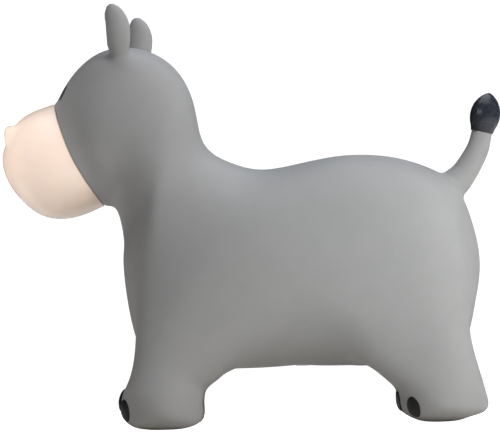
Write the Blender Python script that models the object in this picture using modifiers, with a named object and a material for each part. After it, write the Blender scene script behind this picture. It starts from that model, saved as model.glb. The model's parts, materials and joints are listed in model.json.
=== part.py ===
"""Bouncy ride-on donkey: an air-filled soft PVC skin on four stub legs, with ears for hand grips.

The nose points along -X, the donkey's left side along -Y and +Z is up. The origin lies on the floor
under the middle of the whole toy. All sizes are in metres.

The skin is a coarse half cage of rings that fan out around the throat. Each ring is set out in shares
of the named sizes, and the cage is then pushed out until its smooth surface runs through those places,
so a ring's width is the real width there. Ears, tail, eyes and toenails are cut to the skin they sit on.

The real skin holds air behind a wall of WALL. Nothing shows of that air space, so the skins are solid
inside, apart from the chamber over the valve, where the wall is open and its real thickness counts.
"""

import math

import bmesh
import bpy
import numpy as np
from mathutils import Matrix, Vector
from mathutils.bvhtree import BVHTree
from mathutils.kdtree import KDTree

MM = 0.001

# along the animal
NOSE_OVERHANG = 176.5 * MM  # front of the muzzle to the middle of the front feet
LEG_PITCH = 309.5 * MM  # front feet to hind feet
RUMP_OVERHANG = 48 * MM  # hind feet to the back of the rump

# up the animal
BELLY_HEIGHT = 66 * MM  # floor to belly
FLANK_HEIGHT = 224 * MM  # belly to the dip of the saddle
HEAD_RISE = 142 * MM  # saddle to the crown

# across the animal
BODY_WIDTH = 228 * MM
HEAD_WIDTH = 164 * MM
MUZZLE_WIDTH = 138 * MM
MUZZLE_JOINT_WIDTH = 120 * MM
MUZZLE_JOINT_BOW = 8 * MM  # how far the joint's sides stand ahead of its top and bottom

# skin
WALL = 2.4 * MM  # of the air-filled skin
SEAT_GAP = 0.3 * MM  # between touching pieces
MERGE_DISTANCE = 0.03 * MM

# feet
FOOT_LENGTH = 96 * MM
FOOT_WIDTH = 88 * MM
FOOT_INSET = 9 * MM  # from the widest of the flank in to a foot's outer side
FOOT_SPREAD = BODY_WIDTH - FOOT_WIDTH - 2 * FOOT_INSET  # between the middles of the left and right feet
SOLE_SAG = 2 * MM  # how far the round sole is pressed flat by the floor

# nostril mounds
NOSTRIL_SPREAD = 42 * MM
NOSTRIL_DEPTH = 28 * MM
NOSTRIL_WIDTH = 30 * MM
NOSTRIL_HEIGHT = 29 * MM

# ears
EAR_HEIGHT = 71 * MM  # with the part that the head hides
EAR_DEPTH = 30 * MM
EAR_WIDTH = 25 * MM
EAR_SPREAD = 106 * MM
EAR_NOD = 6 * MM  # forward curl of the tip
EAR_SPLAY_DEG = 15
EAR_HOLLOW_DEPTH = 3 * MM
EAR_HOLLOW_WIDTH = 13 * MM
EAR_HOLLOW_HEIGHT = 38 * MM

# tail
TAIL_REACH = 33 * MM
TAIL_RISE = 57 * MM
TAIL_DIAMETER = 27 * MM
TUFT_LENGTH = 45 * MM
TUFT_DIAMETER = 34 * MM
TUFT_FLUTE = 0.6 * MM

# eyes
EYE_HEIGHT = 17 * MM
EYE_WIDTH = 12 * MM
EYE_PROUD = 0.9 * MM
EYE_SPREAD = 62 * MM

# toenails
NAIL_HEIGHT = 25 * MM
NAIL_WIDTH = 19 * MM
NAIL_PROUD = 2.6 * MM
NAIL_PITCH_DEG = 37  # around the foot, between its two nails
FRONT_TOE_OUT_DEG = 16
HIND_TOE_OUT_DEG = 20
FRONT_NAIL_LEVEL = 25 * MM
HIND_NAIL_LEVEL = 20 * MM
INNER_NAIL_RISE = 10 * MM

# inflation valve, sunk in a round recess of the belly
VALVE_BORE = 8.6 * MM
PLUG_STEM_DIAMETER = 8 * MM
PLUG_STEM_LENGTH = 13 * MM
PLUG_HEAD_DIAMETER = 15 * MM
PLUG_HEAD_THICKNESS = 1.8 * MM
SEAT_NECK_DIAMETER = 13 * MM
SEAT_FLANGE_DIAMETER = 21 * MM
SEAT_FLANGE_THICKNESS = 1.5 * MM
RECESS_DIAMETER = 26 * MM
RECESS_DEPTH = 4.5 * MM
CHAMBER_CLEARANCE = 3 * MM  # round the flange and over the stem, inside the skin

# A place on the side view is (share along, share up). Share 1.5 along is halfway down the second
# span, and the same holds for the spans up.
ALONG_SPANS = (NOSE_OVERHANG, LEG_PITCH, RUMP_OVERHANG)
UP_SPANS = (BELLY_HEIGHT, FLANK_HEIGHT, HEAD_RISE)

# Half sections from the top middle to the bottom middle: (share down the ring, share of its width).
OVAL_SECTION_shares = ((0, 0), (0.12, 0.66), (0.43, 0.99), (0.65, 0.95), (0.83, 0.74), (0.957, 0.41), (1, 0))
HEAD_SECTION_shares = ((0, 0), (0.09, 0.70), (0.39, 1), (0.64, 0.95), (0.84, 0.72), (0.96, 0.38), (1, 0))
BODY_SECTION_shares = ((0, 0), (0.13, 0.70), (0.46, 1), (0.70, 0.94), (0.88, 0.70), (0.97, 0.37), (1, 0))

# Rings from the muzzle joint back to the rump: top place, bottom place, share of the width.
JOINT_RING_share = ((0.349, 2.562), (0.647, 1.836))
HEAD_RINGS_shares = (
    ((0.378, 2.612), (0.660, 1.833), 0.79),
    ((0.484, 2.808), (0.682, 1.832), 0.91),
    ((0.73, 2.99), (0.706, 1.825), 0.99),
    ((1.034, 2.885), (0.737, 1.777), 1.00),
    ((1.132, 2.54), (0.762, 1.643), 0.99),
)
BODY_RINGS_shares = (
    ((1.166, 2.205), (0.755, 1.495), 0.74),
    ((1.272, 2.046), (0.814, 1.17), 0.86),
    ((1.37, 1.996), (0.955, 1.05), 0.945),
    ((1.48, 2.02), (1.168, 1.00), 0.99),
    ((1.62, 2.075), (1.485, 1.00), 1.00),
    ((1.745, 2.088), (1.777, 1.00), 1.00),
    ((1.867, 2.053), (1.958, 1.05), 0.97),
    ((1.987, 1.975), (2.54, 1.10), 0.86),
    ((2.50, 1.88), (2.775, 1.215), 0.56),
)
RUMP_MIDDLE_shares = ((2.845, 1.71), (3.01, 1.51), (2.91, 1.34))

MUZZLE_RINGS_shares = (
    ((0.21, 2.507), (0.458, 1.78), 1.00),
    ((0.102, 2.415), (0.254, 1.79), 0.94),
    ((0.028, 2.26), (0.111, 1.88), 0.61),
)
MUZZLE_MIDDLE_shares = ((-0.001, 2.165), (0.001, 2.06), (0.04, 1.96))

# Where a leg leaves the body, in the order front, front outer, outer and so on round to front inner:
# (share of the half foot length back, share of the half foot width out, share up).
FRONT_LEG_ROOT_shares = (
    (-0.63, 0, 1.09), (-0.45, 0.62, 1.15), (0.15, 0.88, 1.12), (1.05, 0.74, 1.05),
    (1.39, 0, 0.92), (1.16, -0.68, 0.97), (0.15, -0.90, 1.03), (-0.45, -0.72, 1.12),
)
HIND_LEG_ROOT_shares = (
    (-1.56, 0, 0.92), (-1.33, 0.74, 1.04), (-0.18, 0.90, 1.14), (0.50, 0.56, 1.16),
    (0.69, 0, 1.11), (0.47, -0.72, 1.12), (-0.18, -0.90, 1.04), (-1.20, -0.68, 0.99),
)
# Rings down a leg: (share of the belly height, share of the foot's size, share of half its length back).
FRONT_LEG_RINGS_shares = ((0.60, 0.93, -0.06), (0.15, 0.83, -0.03))
HIND_LEG_RINGS_shares = ((0.50, 1.01, -0.01), (0.15, 0.88, -0.025))

FRONT_LEG_AFTER_RING_COUNT = 7
HIND_LEG_AFTER_RING_COUNT = 11
ABOVE_LEG_POINT_COUNT = 3  # in a half section

NOSTRIL_PLACE_share = (0.101, 2.293)
EAR_PLACES_shares = ((0.772, 3.113), (0.873, 3.08))  # widest place of the left ear, of the right ear
EAR_TIP_share = 0.42  # of an ear's height, from its widest place up
TAIL_ROOT_share = (2.448, 1.893)
TAIL_PATH_shares = (
    (-0.6, -0.25, 1.5), (0, 0, 1.35), (0.32, 0.18, 1.14), (0.59, 0.41, 1.06), (0.86, 0.69, 0.98), (1, 1, 0.88),
)
# A tuft section: (share of the length, share of the radius).
TUFT_SECTION_shares = (
    (0, 0.74), (0.06, 0.78), (0.16, 0.88), (0.28, 0.97), (0.42, 1), (0.56, 0.96),
    (0.70, 0.82), (0.82, 0.62), (0.91, 0.40), (0.97, 0.19), (1, 0),
)
EYE_UP_share = 2.645
VALVE_ALONG_share = 1.50

EYE_SIGHT_share = 0.8  # where along the head the eyes' line of sight starts
PLUG_TIP_share = 0.7  # of the stem's width
PLUG_EDGE_share = 0.33  # of the head's thickness
NOSTRIL_CORNER_POWER = 0.8  # below 1 it fills out a ball's corners

RING_POINTS = 8
SMOOTH_LEVELS = 2
TUFT_FLUTES = 7
ROUND_STEPS = 20
PAD_STEPS = 14
TAIL_STEPS = 12

GREY = (0.245, 0.245, 0.245)
CREAM = (0.86, 0.72, 0.60)
NAIL_BLACK = (0.018, 0.018, 0.020)
TUFT_BLACK = (0.030, 0.032, 0.042)
VALVE_WHITE = (0.70, 0.70, 0.68)


def clear_scene():
    for old in list(bpy.data.objects):
        bpy.data.objects.remove(old, do_unlink=True)


def new_collection(name):
    made = bpy.data.collections.new(name)
    bpy.context.scene.collection.children.link(made)
    return made


def place(share, spans):
    """Distance from the start of the first span to a share: 1.5 is halfway along the second span."""
    whole = min(max(int(share), 0), len(spans) - 1)
    return sum(spans[:whole]) + (share - whole) * spans[whole]


def side_place(shares, out=0.0):
    """A point from its shares along and up, at a distance out to the donkey's left."""
    along, up = shares
    return Vector((place(along, ALONG_SPANS), -out, place(up, UP_SPANS)))


def plastic(name, colour, roughness):
    made = bpy.data.materials.new(name)
    made.use_nodes = True
    shader = made.node_tree.nodes["Principled BSDF"]
    shader.inputs["Base Color"].default_value = (*colour, 1)
    shader.inputs["Roughness"].default_value = roughness
    shader.inputs["Metallic"].default_value = 0
    return made


def add_object(name, mesh, collection, material=None):
    made = bpy.data.objects.new(name, mesh)
    collection.objects.link(made)
    if material:
        mesh.materials.clear()
        mesh.materials.append(material)
        mesh.shade_smooth()
        mesh.set_sharp_from_angle(angle=math.radians(40))
    else:
        made.display_type = "WIRE"
        made.hide_render = True
    return made


def mesh_from(bm, name):
    mesh = bpy.data.meshes.new(name)
    bm.to_mesh(mesh)
    bm.free()
    return mesh


def evaluated(obj):
    """The mesh of an object with its modifiers applied, as a new mesh."""
    bpy.context.view_layer.update()
    graph = bpy.context.evaluated_depsgraph_get()
    return bpy.data.meshes.new_from_object(obj.evaluated_get(graph), depsgraph=graph)


def boolean(target, cutter, operation):
    modifier = target.modifiers.new(operation.lower(), "BOOLEAN")
    modifier.operation = operation
    modifier.object = cutter
    modifier.solver = "EXACT"


def bake(obj):
    """Put an object's modified mesh in place of its own."""
    mesh = evaluated(obj)
    obj.modifiers.clear()
    obj.data = mesh


def section(top, bottom, half_width, shares):
    """Half a ring: points from the top middle round the left side to the bottom middle."""
    return [top.lerp(bottom, down) + Vector((0, -half_width * out, 0)) for down, out in shares]


def joint_section(gap=0.0):
    """The bowed ring where muzzle and head meet, moved forward by a gap along its own axis."""
    top, bottom = (side_place(shares) for shares in JOINT_RING_share)
    forward = Vector((0, 1, 0)).cross(bottom - top).normalized()
    ring = section(top, bottom, MUZZLE_JOINT_WIDTH / 2, OVAL_SECTION_shares)
    return [
        point + forward * (gap + MUZZLE_JOINT_BOW * out * out)
        for point, (_, out) in zip(ring, OVAL_SECTION_shares)
    ]


def leg_root(centre, shares):
    return [
        Vector((centre.x + back * FOOT_LENGTH / 2, centre.y - out * FOOT_WIDTH / 2, place(up, UP_SPANS)))
        for back, out, up in shares
    ]


def leg_ring(centre, up, size, back):
    """Eight points round a foot, in the order of a leg root."""
    turns = [math.tau * step / RING_POINTS for step in range(RING_POINTS)]
    return [
        Vector((
            centre.x + (back - math.cos(turn) * size) * FOOT_LENGTH / 2,
            centre.y - math.sin(turn) * size * FOOT_WIDTH / 2,
            up * BELLY_HEIGHT,
        ))
        for turn in turns
    ]


def add_strip(bm, first, second):
    for step in range(len(first) - 1):
        bm.faces.new((first[step], first[step + 1], second[step + 1], second[step]))


def add_end_cap(bm, ring, middle):
    """Close a half ring with a row of points on the middle plane."""
    column = [ring[0], *middle, ring[-1]]
    bm.faces.new((ring[0], ring[1], ring[2], column[1]))
    for step in range(1, len(middle)):
        bm.faces.new((column[step], ring[step + 1], ring[step + 2], column[step + 1]))
    bm.faces.new((column[-2], ring[-3], ring[-2], ring[-1]))


def add_leg(bm, root, centre, rings):
    """Rings and a sole of four faces below a leg's root."""
    previous = root
    for shares in rings:
        ring = [bm.verts.new(point) for point in leg_ring(centre, *shares)]
        add_strip(bm, [*previous, previous[0]], [*ring, ring[0]])
        previous = ring
    sole = bm.verts.new((centre.x, centre.y, -SOLE_SAG))
    for corner in range(1, RING_POINTS, 2):
        after = (corner + 1) % RING_POINTS
        bm.faces.new((sole, previous[corner - 1], previous[corner], previous[after]))


def ring_grid(bm, sections):
    return [[bm.verts.new(point) for point in ring] for ring in sections]


def root_loop(rings, first):
    """The eight cage points round a leg's hole, in the order of a leg root."""
    front, middle, back = rings[first:first + 3]
    low, centre, high = ABOVE_LEG_POINT_COUNT + 2, ABOVE_LEG_POINT_COUNT + 1, ABOVE_LEG_POINT_COUNT
    return [
        front[centre], front[high], middle[high], back[high],
        back[centre], back[low], middle[low], front[low],
    ]


def skin_cage():
    """Half of the body's cage, open at the middle plane and at the muzzle joint."""
    sections = [joint_section()]
    for table, width, shares in (
        (HEAD_RINGS_shares, HEAD_WIDTH, HEAD_SECTION_shares),
        (BODY_RINGS_shares, BODY_WIDTH, BODY_SECTION_shares),
    ):
        for top, bottom, share in table:
            sections.append(section(side_place(top), side_place(bottom), share * width / 2, shares))
    bm = bmesh.new()
    rings = ring_grid(bm, sections)
    holes = []
    for first, along, shares, leg_rings in (
        (FRONT_LEG_AFTER_RING_COUNT, 1, FRONT_LEG_ROOT_shares, FRONT_LEG_RINGS_shares),
        (HIND_LEG_AFTER_RING_COUNT, 2, HIND_LEG_ROOT_shares, HIND_LEG_RINGS_shares),
    ):
        centre = side_place((along, 0), FOOT_SPREAD / 2)
        loop = root_loop(rings, first)
        for vert, point in zip(loop, leg_root(centre, shares)):
            vert.co = point
        holes.append(rings[first + 1][ABOVE_LEG_POINT_COUNT + 1])
        add_leg(bm, loop, centre, leg_rings)
    for first, second in zip(rings, rings[1:]):
        add_strip(bm, first, second)
    add_end_cap(bm, rings[-1], [bm.verts.new(side_place(shares)) for shares in RUMP_MIDDLE_shares])
    bmesh.ops.delete(bm, geom=holes, context="VERTS")
    return bm


def muzzle_cage():
    """Half of the muzzle's cage, open at the middle plane and at its joint."""
    sections = [joint_section(SEAT_GAP)]
    for top, bottom, share in MUZZLE_RINGS_shares:
        half = share * MUZZLE_WIDTH / 2
        sections.append(section(side_place(top), side_place(bottom), half, OVAL_SECTION_shares))
    bm = bmesh.new()
    rings = ring_grid(bm, sections)
    for first, second in zip(rings, rings[1:]):
        add_strip(bm, first, second)
    add_end_cap(bm, rings[-1], [bm.verts.new(side_place(shares)) for shares in MUZZLE_MIDDLE_shares])
    return bm


def limit_weights(bm):
    """Rows of weights that give each cage point's place on the smooth surface."""
    rows = np.zeros((len(bm.verts), len(bm.verts)))
    for vert in bm.verts:
        rim = [edge.other_vert(vert).index for edge in vert.link_edges if edge.is_boundary]
        row = rows[vert.index]
        if rim:
            row[vert.index] = 4 / 6
            row[rim] = 1 / 6
            continue
        count = len(vert.link_edges)
        total = count * (count + 5)
        row[vert.index] = count * count / total
        for edge in vert.link_edges:
            row[edge.other_vert(vert).index] += 4 / total
        for loop in vert.link_loops:
            row[loop.link_loop_next.link_loop_next.vert.index] += 1 / total
    return rows


def smooth_form(name, bm, collection):
    """A cage object with Mirror, its points pushed out so that the smooth surface meets their places."""
    bmesh.ops.recalc_face_normals(bm, faces=bm.faces)
    if sum(face.normal.y * face.calc_area() for face in bm.faces) > 0:
        bmesh.ops.reverse_faces(bm, faces=bm.faces)
    cage = add_object(name, mesh_from(bm, name), collection)
    mirror = cage.modifiers.new("mirror", "MIRROR")
    mirror.use_axis = (False, True, False)
    mirror.merge_threshold = MERGE_DISTANCE
    whole = bmesh.new()
    whole.from_mesh(evaluated(cage))
    places = np.array([vert.co for vert in whole.verts])
    points = np.linalg.solve(limit_weights(whole), places)
    finder = KDTree(len(places))
    for index, spot in enumerate(places):
        finder.insert(spot, index)
    finder.balance()
    for vert in cage.data.vertices:
        vert.co = points[finder.find(vert.co)[1]]
    whole.free()
    return cage


def close_rim(bm):
    """Close an upright rim with strips that run straight across it, so that two like rims stay parallel."""
    rim = sorted((vert for vert in bm.verts if vert.is_boundary), key=lambda vert: vert.co.z)
    left = [vert for vert in rim if vert.co.y < -MERGE_DISTANCE]
    right = [vert for vert in rim if vert.co.y > MERGE_DISTANCE]
    left = [rim[0], *left, rim[-1]]
    right = [rim[0], *right, rim[-1]]
    for low_left, high_left, high_right, low_right in zip(left, left[1:], right[1:], right):
        bm.faces.new(dict.fromkeys((low_left, high_left, high_right, low_right)))


def smooth_mesh(cage, offset=0.0, floor=None):
    """The cage's smooth surface, moved out by an offset, pressed flat on a floor and closed at its rim."""
    smooth = cage.modifiers.new("smooth", "SUBSURF")
    smooth.levels = SMOOTH_LEVELS
    smooth.render_levels = SMOOTH_LEVELS
    bm = bmesh.new()
    bm.from_mesh(evaluated(cage))
    cage.modifiers.remove(smooth)
    bm.normal_update()
    moves = [(vert, vert.normal * offset) for vert in bm.verts]
    for vert, move in moves:
        vert.co += move
        if floor is not None:
            vert.co.z = max(vert.co.z, floor)
    close_rim(bm)
    bmesh.ops.recalc_face_normals(bm, faces=bm.faces)
    return bm


def ellipsoid(name, depth, width, height, matrix, collection, material=None, steps=ROUND_STEPS):
    """A ball scaled to its three sizes, then placed."""
    bm = bmesh.new()
    bmesh.ops.create_uvsphere(bm, u_segments=steps, v_segments=steps // 2, radius=0.5)
    bmesh.ops.transform(bm, matrix=matrix @ Matrix.Diagonal((depth, width, height, 1)), verts=bm.verts)
    return add_object(name, mesh_from(bm, name), collection, material)


def turned(name, profile, steps, collection, material):
    """A solid of revolution about Z from (radius, height) points, which run from top to bottom."""
    bm = bmesh.new()
    verts = [bm.verts.new((radius, 0, height)) for radius, height in profile]
    for first, second in zip(verts, verts[1:]):
        bm.edges.new((first, second))
    made = add_object(name, mesh_from(bm, name), collection, material)
    screw = made.modifiers.new("turn", "SCREW")
    screw.steps = steps
    screw.render_steps = steps
    screw.use_merge_vertices = True
    screw.merge_threshold = MERGE_DISTANCE
    bake(made)
    return made


def muzzle(group, cutters, material):
    """The muzzle with its two nostril mounds."""
    cage = smooth_form("muzzle_cage", muzzle_cage(), cutters)
    made = add_object("muzzle_skin", mesh_from(smooth_mesh(cage), "muzzle_skin"), group, material)
    sizes = (NOSTRIL_DEPTH, NOSTRIL_WIDTH, NOSTRIL_HEIGHT)
    for side in (1, -1):
        mound = ellipsoid("nostril_form", *sizes, Matrix(), cutters, steps=PAD_STEPS)
        for vert in mound.data.vertices:
            shares = [2 * out / size for out, size in zip(vert.co, sizes)]
            vert.co = [
                math.copysign(abs(share) ** NOSTRIL_CORNER_POWER, share) * size / 2
                for share, size in zip(shares, sizes)
            ]
        mound.data.transform(Matrix.Translation(side_place(NOSTRIL_PLACE_share, side * NOSTRIL_SPREAD / 2)))
        boolean(made, mound, "UNION")


def ear(name, side, shares, fit, group, cutters, material):
    """A petal that curls forward at its tip, hollowed in front and cut to the crown it stands on."""
    splay = Matrix.Rotation(side * math.radians(EAR_SPLAY_DEG), 4, "X")
    where = Matrix.Translation(side_place(shares, side * EAR_SPREAD / 2)) @ splay
    made = ellipsoid(name, EAR_DEPTH, EAR_WIDTH, EAR_HEIGHT, Matrix(), group, material)
    for vert in made.data.vertices:
        rise = max(0, vert.co.z) / (EAR_HEIGHT / 2)
        vert.co.x -= EAR_NOD * rise * rise
        vert.co.z *= 2 * (EAR_TIP_share if rise else 1 - EAR_TIP_share)
    made.data.transform(where)
    bowl = where @ Matrix.Translation((-EAR_DEPTH / 2, 0, 0))
    dish = ellipsoid(
        name + "_dish", 2 * EAR_HOLLOW_DEPTH, EAR_HOLLOW_WIDTH, EAR_HOLLOW_HEIGHT, bowl, cutters,
    )
    boolean(made, dish, "DIFFERENCE")
    boolean(made, fit, "DIFFERENCE")
    return made


def smooth_path(points, steps):
    """Points of a smooth curve through hand-set ones, which hold a place and a radius."""
    rows = [np.array(point) for point in points]
    rows = [2 * rows[0] - rows[1], *rows, 2 * rows[-1] - rows[-2]]
    spans = len(rows) - 3
    path = []
    for step in range(steps + 1):
        at = step * spans / steps
        span = min(int(at), spans - 1)
        t = at - span
        before, start, end, after = rows[span:span + 4]
        bend = 2 * before - 5 * start + 4 * end - after
        twist = 3 * (start - end) + after - before
        path.append(start + t * ((end - before) + t * (bend + t * twist)) / 2)
    return path


def tail(fit, group, material):
    """The tail's tapering rod, cut to the rump. Returns the place and direction of its end."""
    root = side_place(TAIL_ROOT_share)
    points = []
    for back, up, thick in TAIL_PATH_shares:
        spot = root + Vector((back * TAIL_REACH, 0, up * TAIL_RISE))
        points.append((*spot, thick))
    path = smooth_path(points, TAIL_STEPS)
    curve = bpy.data.curves.new("tail", "CURVE")
    curve.dimensions = "3D"
    curve.bevel_depth = TAIL_DIAMETER / 2
    curve.bevel_resolution = 4
    curve.use_fill_caps = True
    spline = curve.splines.new("POLY")
    spline.points.add(len(path) - 1)
    for point, (x, y, z, thick) in zip(spline.points, path):
        point.co = (x, y, z, 1)
        point.radius = thick
    rod = bpy.data.objects.new("tail_rod", curve)
    group.objects.link(rod)
    bm = bmesh.new()
    bm.from_mesh(evaluated(rod))
    bpy.data.objects.remove(rod)
    bmesh.ops.remove_doubles(bm, verts=bm.verts, dist=MERGE_DISTANCE)
    made = add_object("tail", mesh_from(bm, "tail"), group, material)
    boolean(made, fit, "DIFFERENCE")
    end, before = (Vector(row[:3]) for row in (path[-1], path[-2]))
    return end, (end - before).normalized()


def tuft(end, direction, group, material):
    """The fluted tuft on the tail's end: a turned bud whose radius waves round its axis."""
    radius = TUFT_DIAMETER / 2
    profile = [(radius * out, TUFT_LENGTH * up) for up, out in reversed(TUFT_SECTION_shares)]
    profile.append((0, 0))
    made = turned("tail_tip", profile, 4 * TUFT_FLUTES, group, material)
    for vert in made.data.vertices:
        out = math.hypot(vert.co.x, vert.co.y)
        if out > SEAT_GAP:
            turn = math.atan2(vert.co.y, vert.co.x)
            belly = math.sin(math.pi * min(1, vert.co.z / TUFT_LENGTH))
            dent = TUFT_FLUTE * belly * (1 - math.cos(TUFT_FLUTES * turn)) / 2
            vert.co.xy *= 1 - dent / out
    turn = direction.to_track_quat("Z", "X").to_matrix().to_4x4()
    made.data.transform(Matrix.Translation(end + direction * SEAT_GAP) @ turn)
    return made


def facing(spot, normal):
    """A frame at a spot with X out along a normal and Z as near to up as that allows."""
    out = normal.normalized()
    across = Vector((0, 0, 1)).cross(out).normalized()
    return Matrix.LocRotScale(spot, Matrix((out, across, out.cross(across))).transposed().to_quaternion(), None)


def pad(name, surface, start, direction, sizes, fit, group, material):
    """An oval pad on the skin where a ray from inside meets it, cut to the skin's own curve."""
    width, height, proud = sizes
    spot, normal = surface.ray_cast(start, direction)[:2]
    sizes = (2 * (proud + SEAT_GAP), width, height)
    made = ellipsoid(name, *sizes, facing(spot, normal), group, material, steps=PAD_STEPS)
    boolean(made, fit, "DIFFERENCE")
    return made


def eyes(surface, fit, group, material):
    for name, side in (("eye_left", 1), ("eye_right", -1)):
        start = side_place((EYE_SIGHT_share, EYE_UP_share), side * EYE_SPREAD / 2)
        sizes = (EYE_WIDTH, EYE_HEIGHT, EYE_PROUD)
        pad(name, surface, start, Vector((-1, 0, 0)), sizes, fit, group, material)


def nails(surface, fit, group, material):
    sizes = (NAIL_WIDTH, NAIL_HEIGHT, NAIL_PROUD)
    for end, along, level, toe_out in (
        ("front", 1, FRONT_NAIL_LEVEL, FRONT_TOE_OUT_DEG),
        ("hind", 2, HIND_NAIL_LEVEL, HIND_TOE_OUT_DEG),
    ):
        for side_name, side in (("left", 1), ("right", -1)):
            for toe, rise, half_pitch in (("outer", 0, 0.5), ("inner", INNER_NAIL_RISE, -0.5)):
                turn = math.radians(toe_out + half_pitch * NAIL_PITCH_DEG)
                start = side_place((along, 0), side * FOOT_SPREAD / 2)
                start.z = level + rise
                direction = Vector((-math.cos(turn), -side * math.sin(turn), 0))
                name = f"nail_{end}_{side_name}_{toe}"
                pad(name, surface, start, direction, sizes, fit, group, material)


def disc(name, diameter, bottom, top, collection):
    """An upright cylinder as a cutter, on the valve's axis."""
    bm = bmesh.new()
    radius = diameter / 2
    bmesh.ops.create_cone(
        bm, cap_ends=True, segments=ROUND_STEPS, radius1=radius, radius2=radius, depth=top - bottom,
    )
    spot = Vector((place(VALVE_ALONG_share, ALONG_SPANS), 0, (top + bottom) / 2))
    bmesh.ops.translate(bm, vec=spot, verts=bm.verts)
    return add_object(name, mesh_from(bm, name), collection)


def valve(belly, group, cutters, material):
    """The valve's grommet and its push-in plug. Returns the recess, hole and chamber that the skin gets."""
    roof = belly + RECESS_DEPTH
    inside = roof + WALL
    neck, flange, bore = SEAT_NECK_DIAMETER / 2, SEAT_FLANGE_DIAMETER / 2, VALVE_BORE / 2
    top = inside + SEAT_GAP + SEAT_FLANGE_THICKNESS
    bottom = roof - SEAT_GAP - SEAT_FLANGE_THICKNESS
    profile = (
        (bore, top), (flange, top), (flange, inside + SEAT_GAP), (neck, inside + SEAT_GAP),
        (neck, roof - SEAT_GAP), (flange, roof - SEAT_GAP), (flange, bottom), (bore, bottom), (bore, top),
    )
    seat = turned("valve_seat", profile, ROUND_STEPS, group, material)
    head_top = bottom - SEAT_GAP
    head_bottom = head_top - PLUG_HEAD_THICKNESS
    stem, head = PLUG_STEM_DIAMETER / 2, PLUG_HEAD_DIAMETER / 2
    tip = head_top + PLUG_STEM_LENGTH
    edge = PLUG_HEAD_THICKNESS * PLUG_EDGE_share
    plug_profile = (
        (0, tip), (PLUG_TIP_share * stem, tip), (stem, tip - stem), (stem, head_top), (head, head_top),
        (head, head_bottom + edge), (head - edge, head_bottom), (0, head_bottom),
    )
    plug = turned("valve_plug", plug_profile, ROUND_STEPS, group, material)
    for piece in (seat, plug):
        piece.location.x = place(VALVE_ALONG_share, ALONG_SPANS)
    below = belly - RECESS_DEPTH
    chamber = SEAT_FLANGE_DIAMETER + 2 * CHAMBER_CLEARANCE
    return (
        disc("valve_recess", RECESS_DIAMETER, below, roof, cutters),
        disc("valve_hole", SEAT_NECK_DIAMETER + 2 * SEAT_GAP, below, inside + SEAT_GAP, cutters),
        disc("valve_chamber", chamber, inside, tip + CHAMBER_CLEARANCE, cutters),
    )


def stand_on_origin(group, cutters):
    """Move everything so that the origin is on the floor under the middle of the toy."""
    lows, highs = [], []
    for piece in group.objects:
        mesh = evaluated(piece)
        mesh.transform(piece.matrix_world)
        spots = np.array([vert.co for vert in mesh.vertices])
        lows.append(spots.min(axis=0))
        highs.append(spots.max(axis=0))
        bpy.data.meshes.remove(mesh)
    low, high = np.min(lows, axis=0), np.max(highs, axis=0)
    shift = Vector((-(low[0] + high[0]) / 2, -(low[1] + high[1]) / 2, -low[2]))
    for piece in [*group.objects, *cutters.objects]:
        piece.location += shift
    print("size", [round(float(side), 4) for side in high - low], "shift", [round(side, 5) for side in shift])


def main():
    clear_scene()
    group = new_collection("bouncy_donkey")
    cutters = new_collection("cutters")
    grey = plastic("grey_pvc", GREY, 0.5)
    cream = plastic("cream_pvc", CREAM, 0.35)
    black = plastic("nail_black", NAIL_BLACK, 0.35)
    dark = plastic("tuft_black", TUFT_BLACK, 0.2)
    white = plastic("valve_white", VALVE_WHITE, 0.4)

    cage = smooth_form("body_cage", skin_cage(), cutters)
    fit = add_object("body_fit", mesh_from(smooth_mesh(cage, SEAT_GAP), "body_fit"), cutters)
    form = smooth_mesh(cage, 0, 0)
    surface = BVHTree.FromBMesh(form)
    skin = add_object("body_skin", mesh_from(form, "body_skin"), group, grey)
    belly = surface.ray_cast(side_place((VALVE_ALONG_share, 0)), Vector((0, 0, 1)))[0].z
    for cut in valve(belly, group, cutters, white):
        boolean(skin, cut, "DIFFERENCE")

    muzzle(group, cutters, cream)

    for name, side, shares in zip(("ear_left", "ear_right"), (1, -1), EAR_PLACES_shares):
        ear(name, side, shares, fit, group, cutters, grey)
    end, direction = tail(fit, group, grey)
    tuft(end, direction, group, dark)
    eyes(surface, fit, group, black)
    nails(surface, fit, group, black)
    stand_on_origin(group, cutters)


main()
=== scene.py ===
"""Looks of the bouncy ride-on donkey: its moulded skin, muzzle, toenails, eyes, tail tuft and air valve.

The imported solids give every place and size. The grey skin, its ears and its tail are one moulding, so
they are grown together here and filleted where they meet; the cream muzzle meets the skin along one
crisp line. Everything is in metres, with the nose along -X, the donkey's left along -Y and +Z up.
"""

from __future__ import annotations

import json
import logging
import math
from contextlib import contextmanager
from dataclasses import dataclass, field
from enum import Enum
from typing import Callable, Iterator, Sequence

import bmesh
import bpy
import numpy as np
from mathutils import Matrix, Vector
from mathutils.bvhtree import BVHTree
from mathutils.kdtree import KDTree


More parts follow.
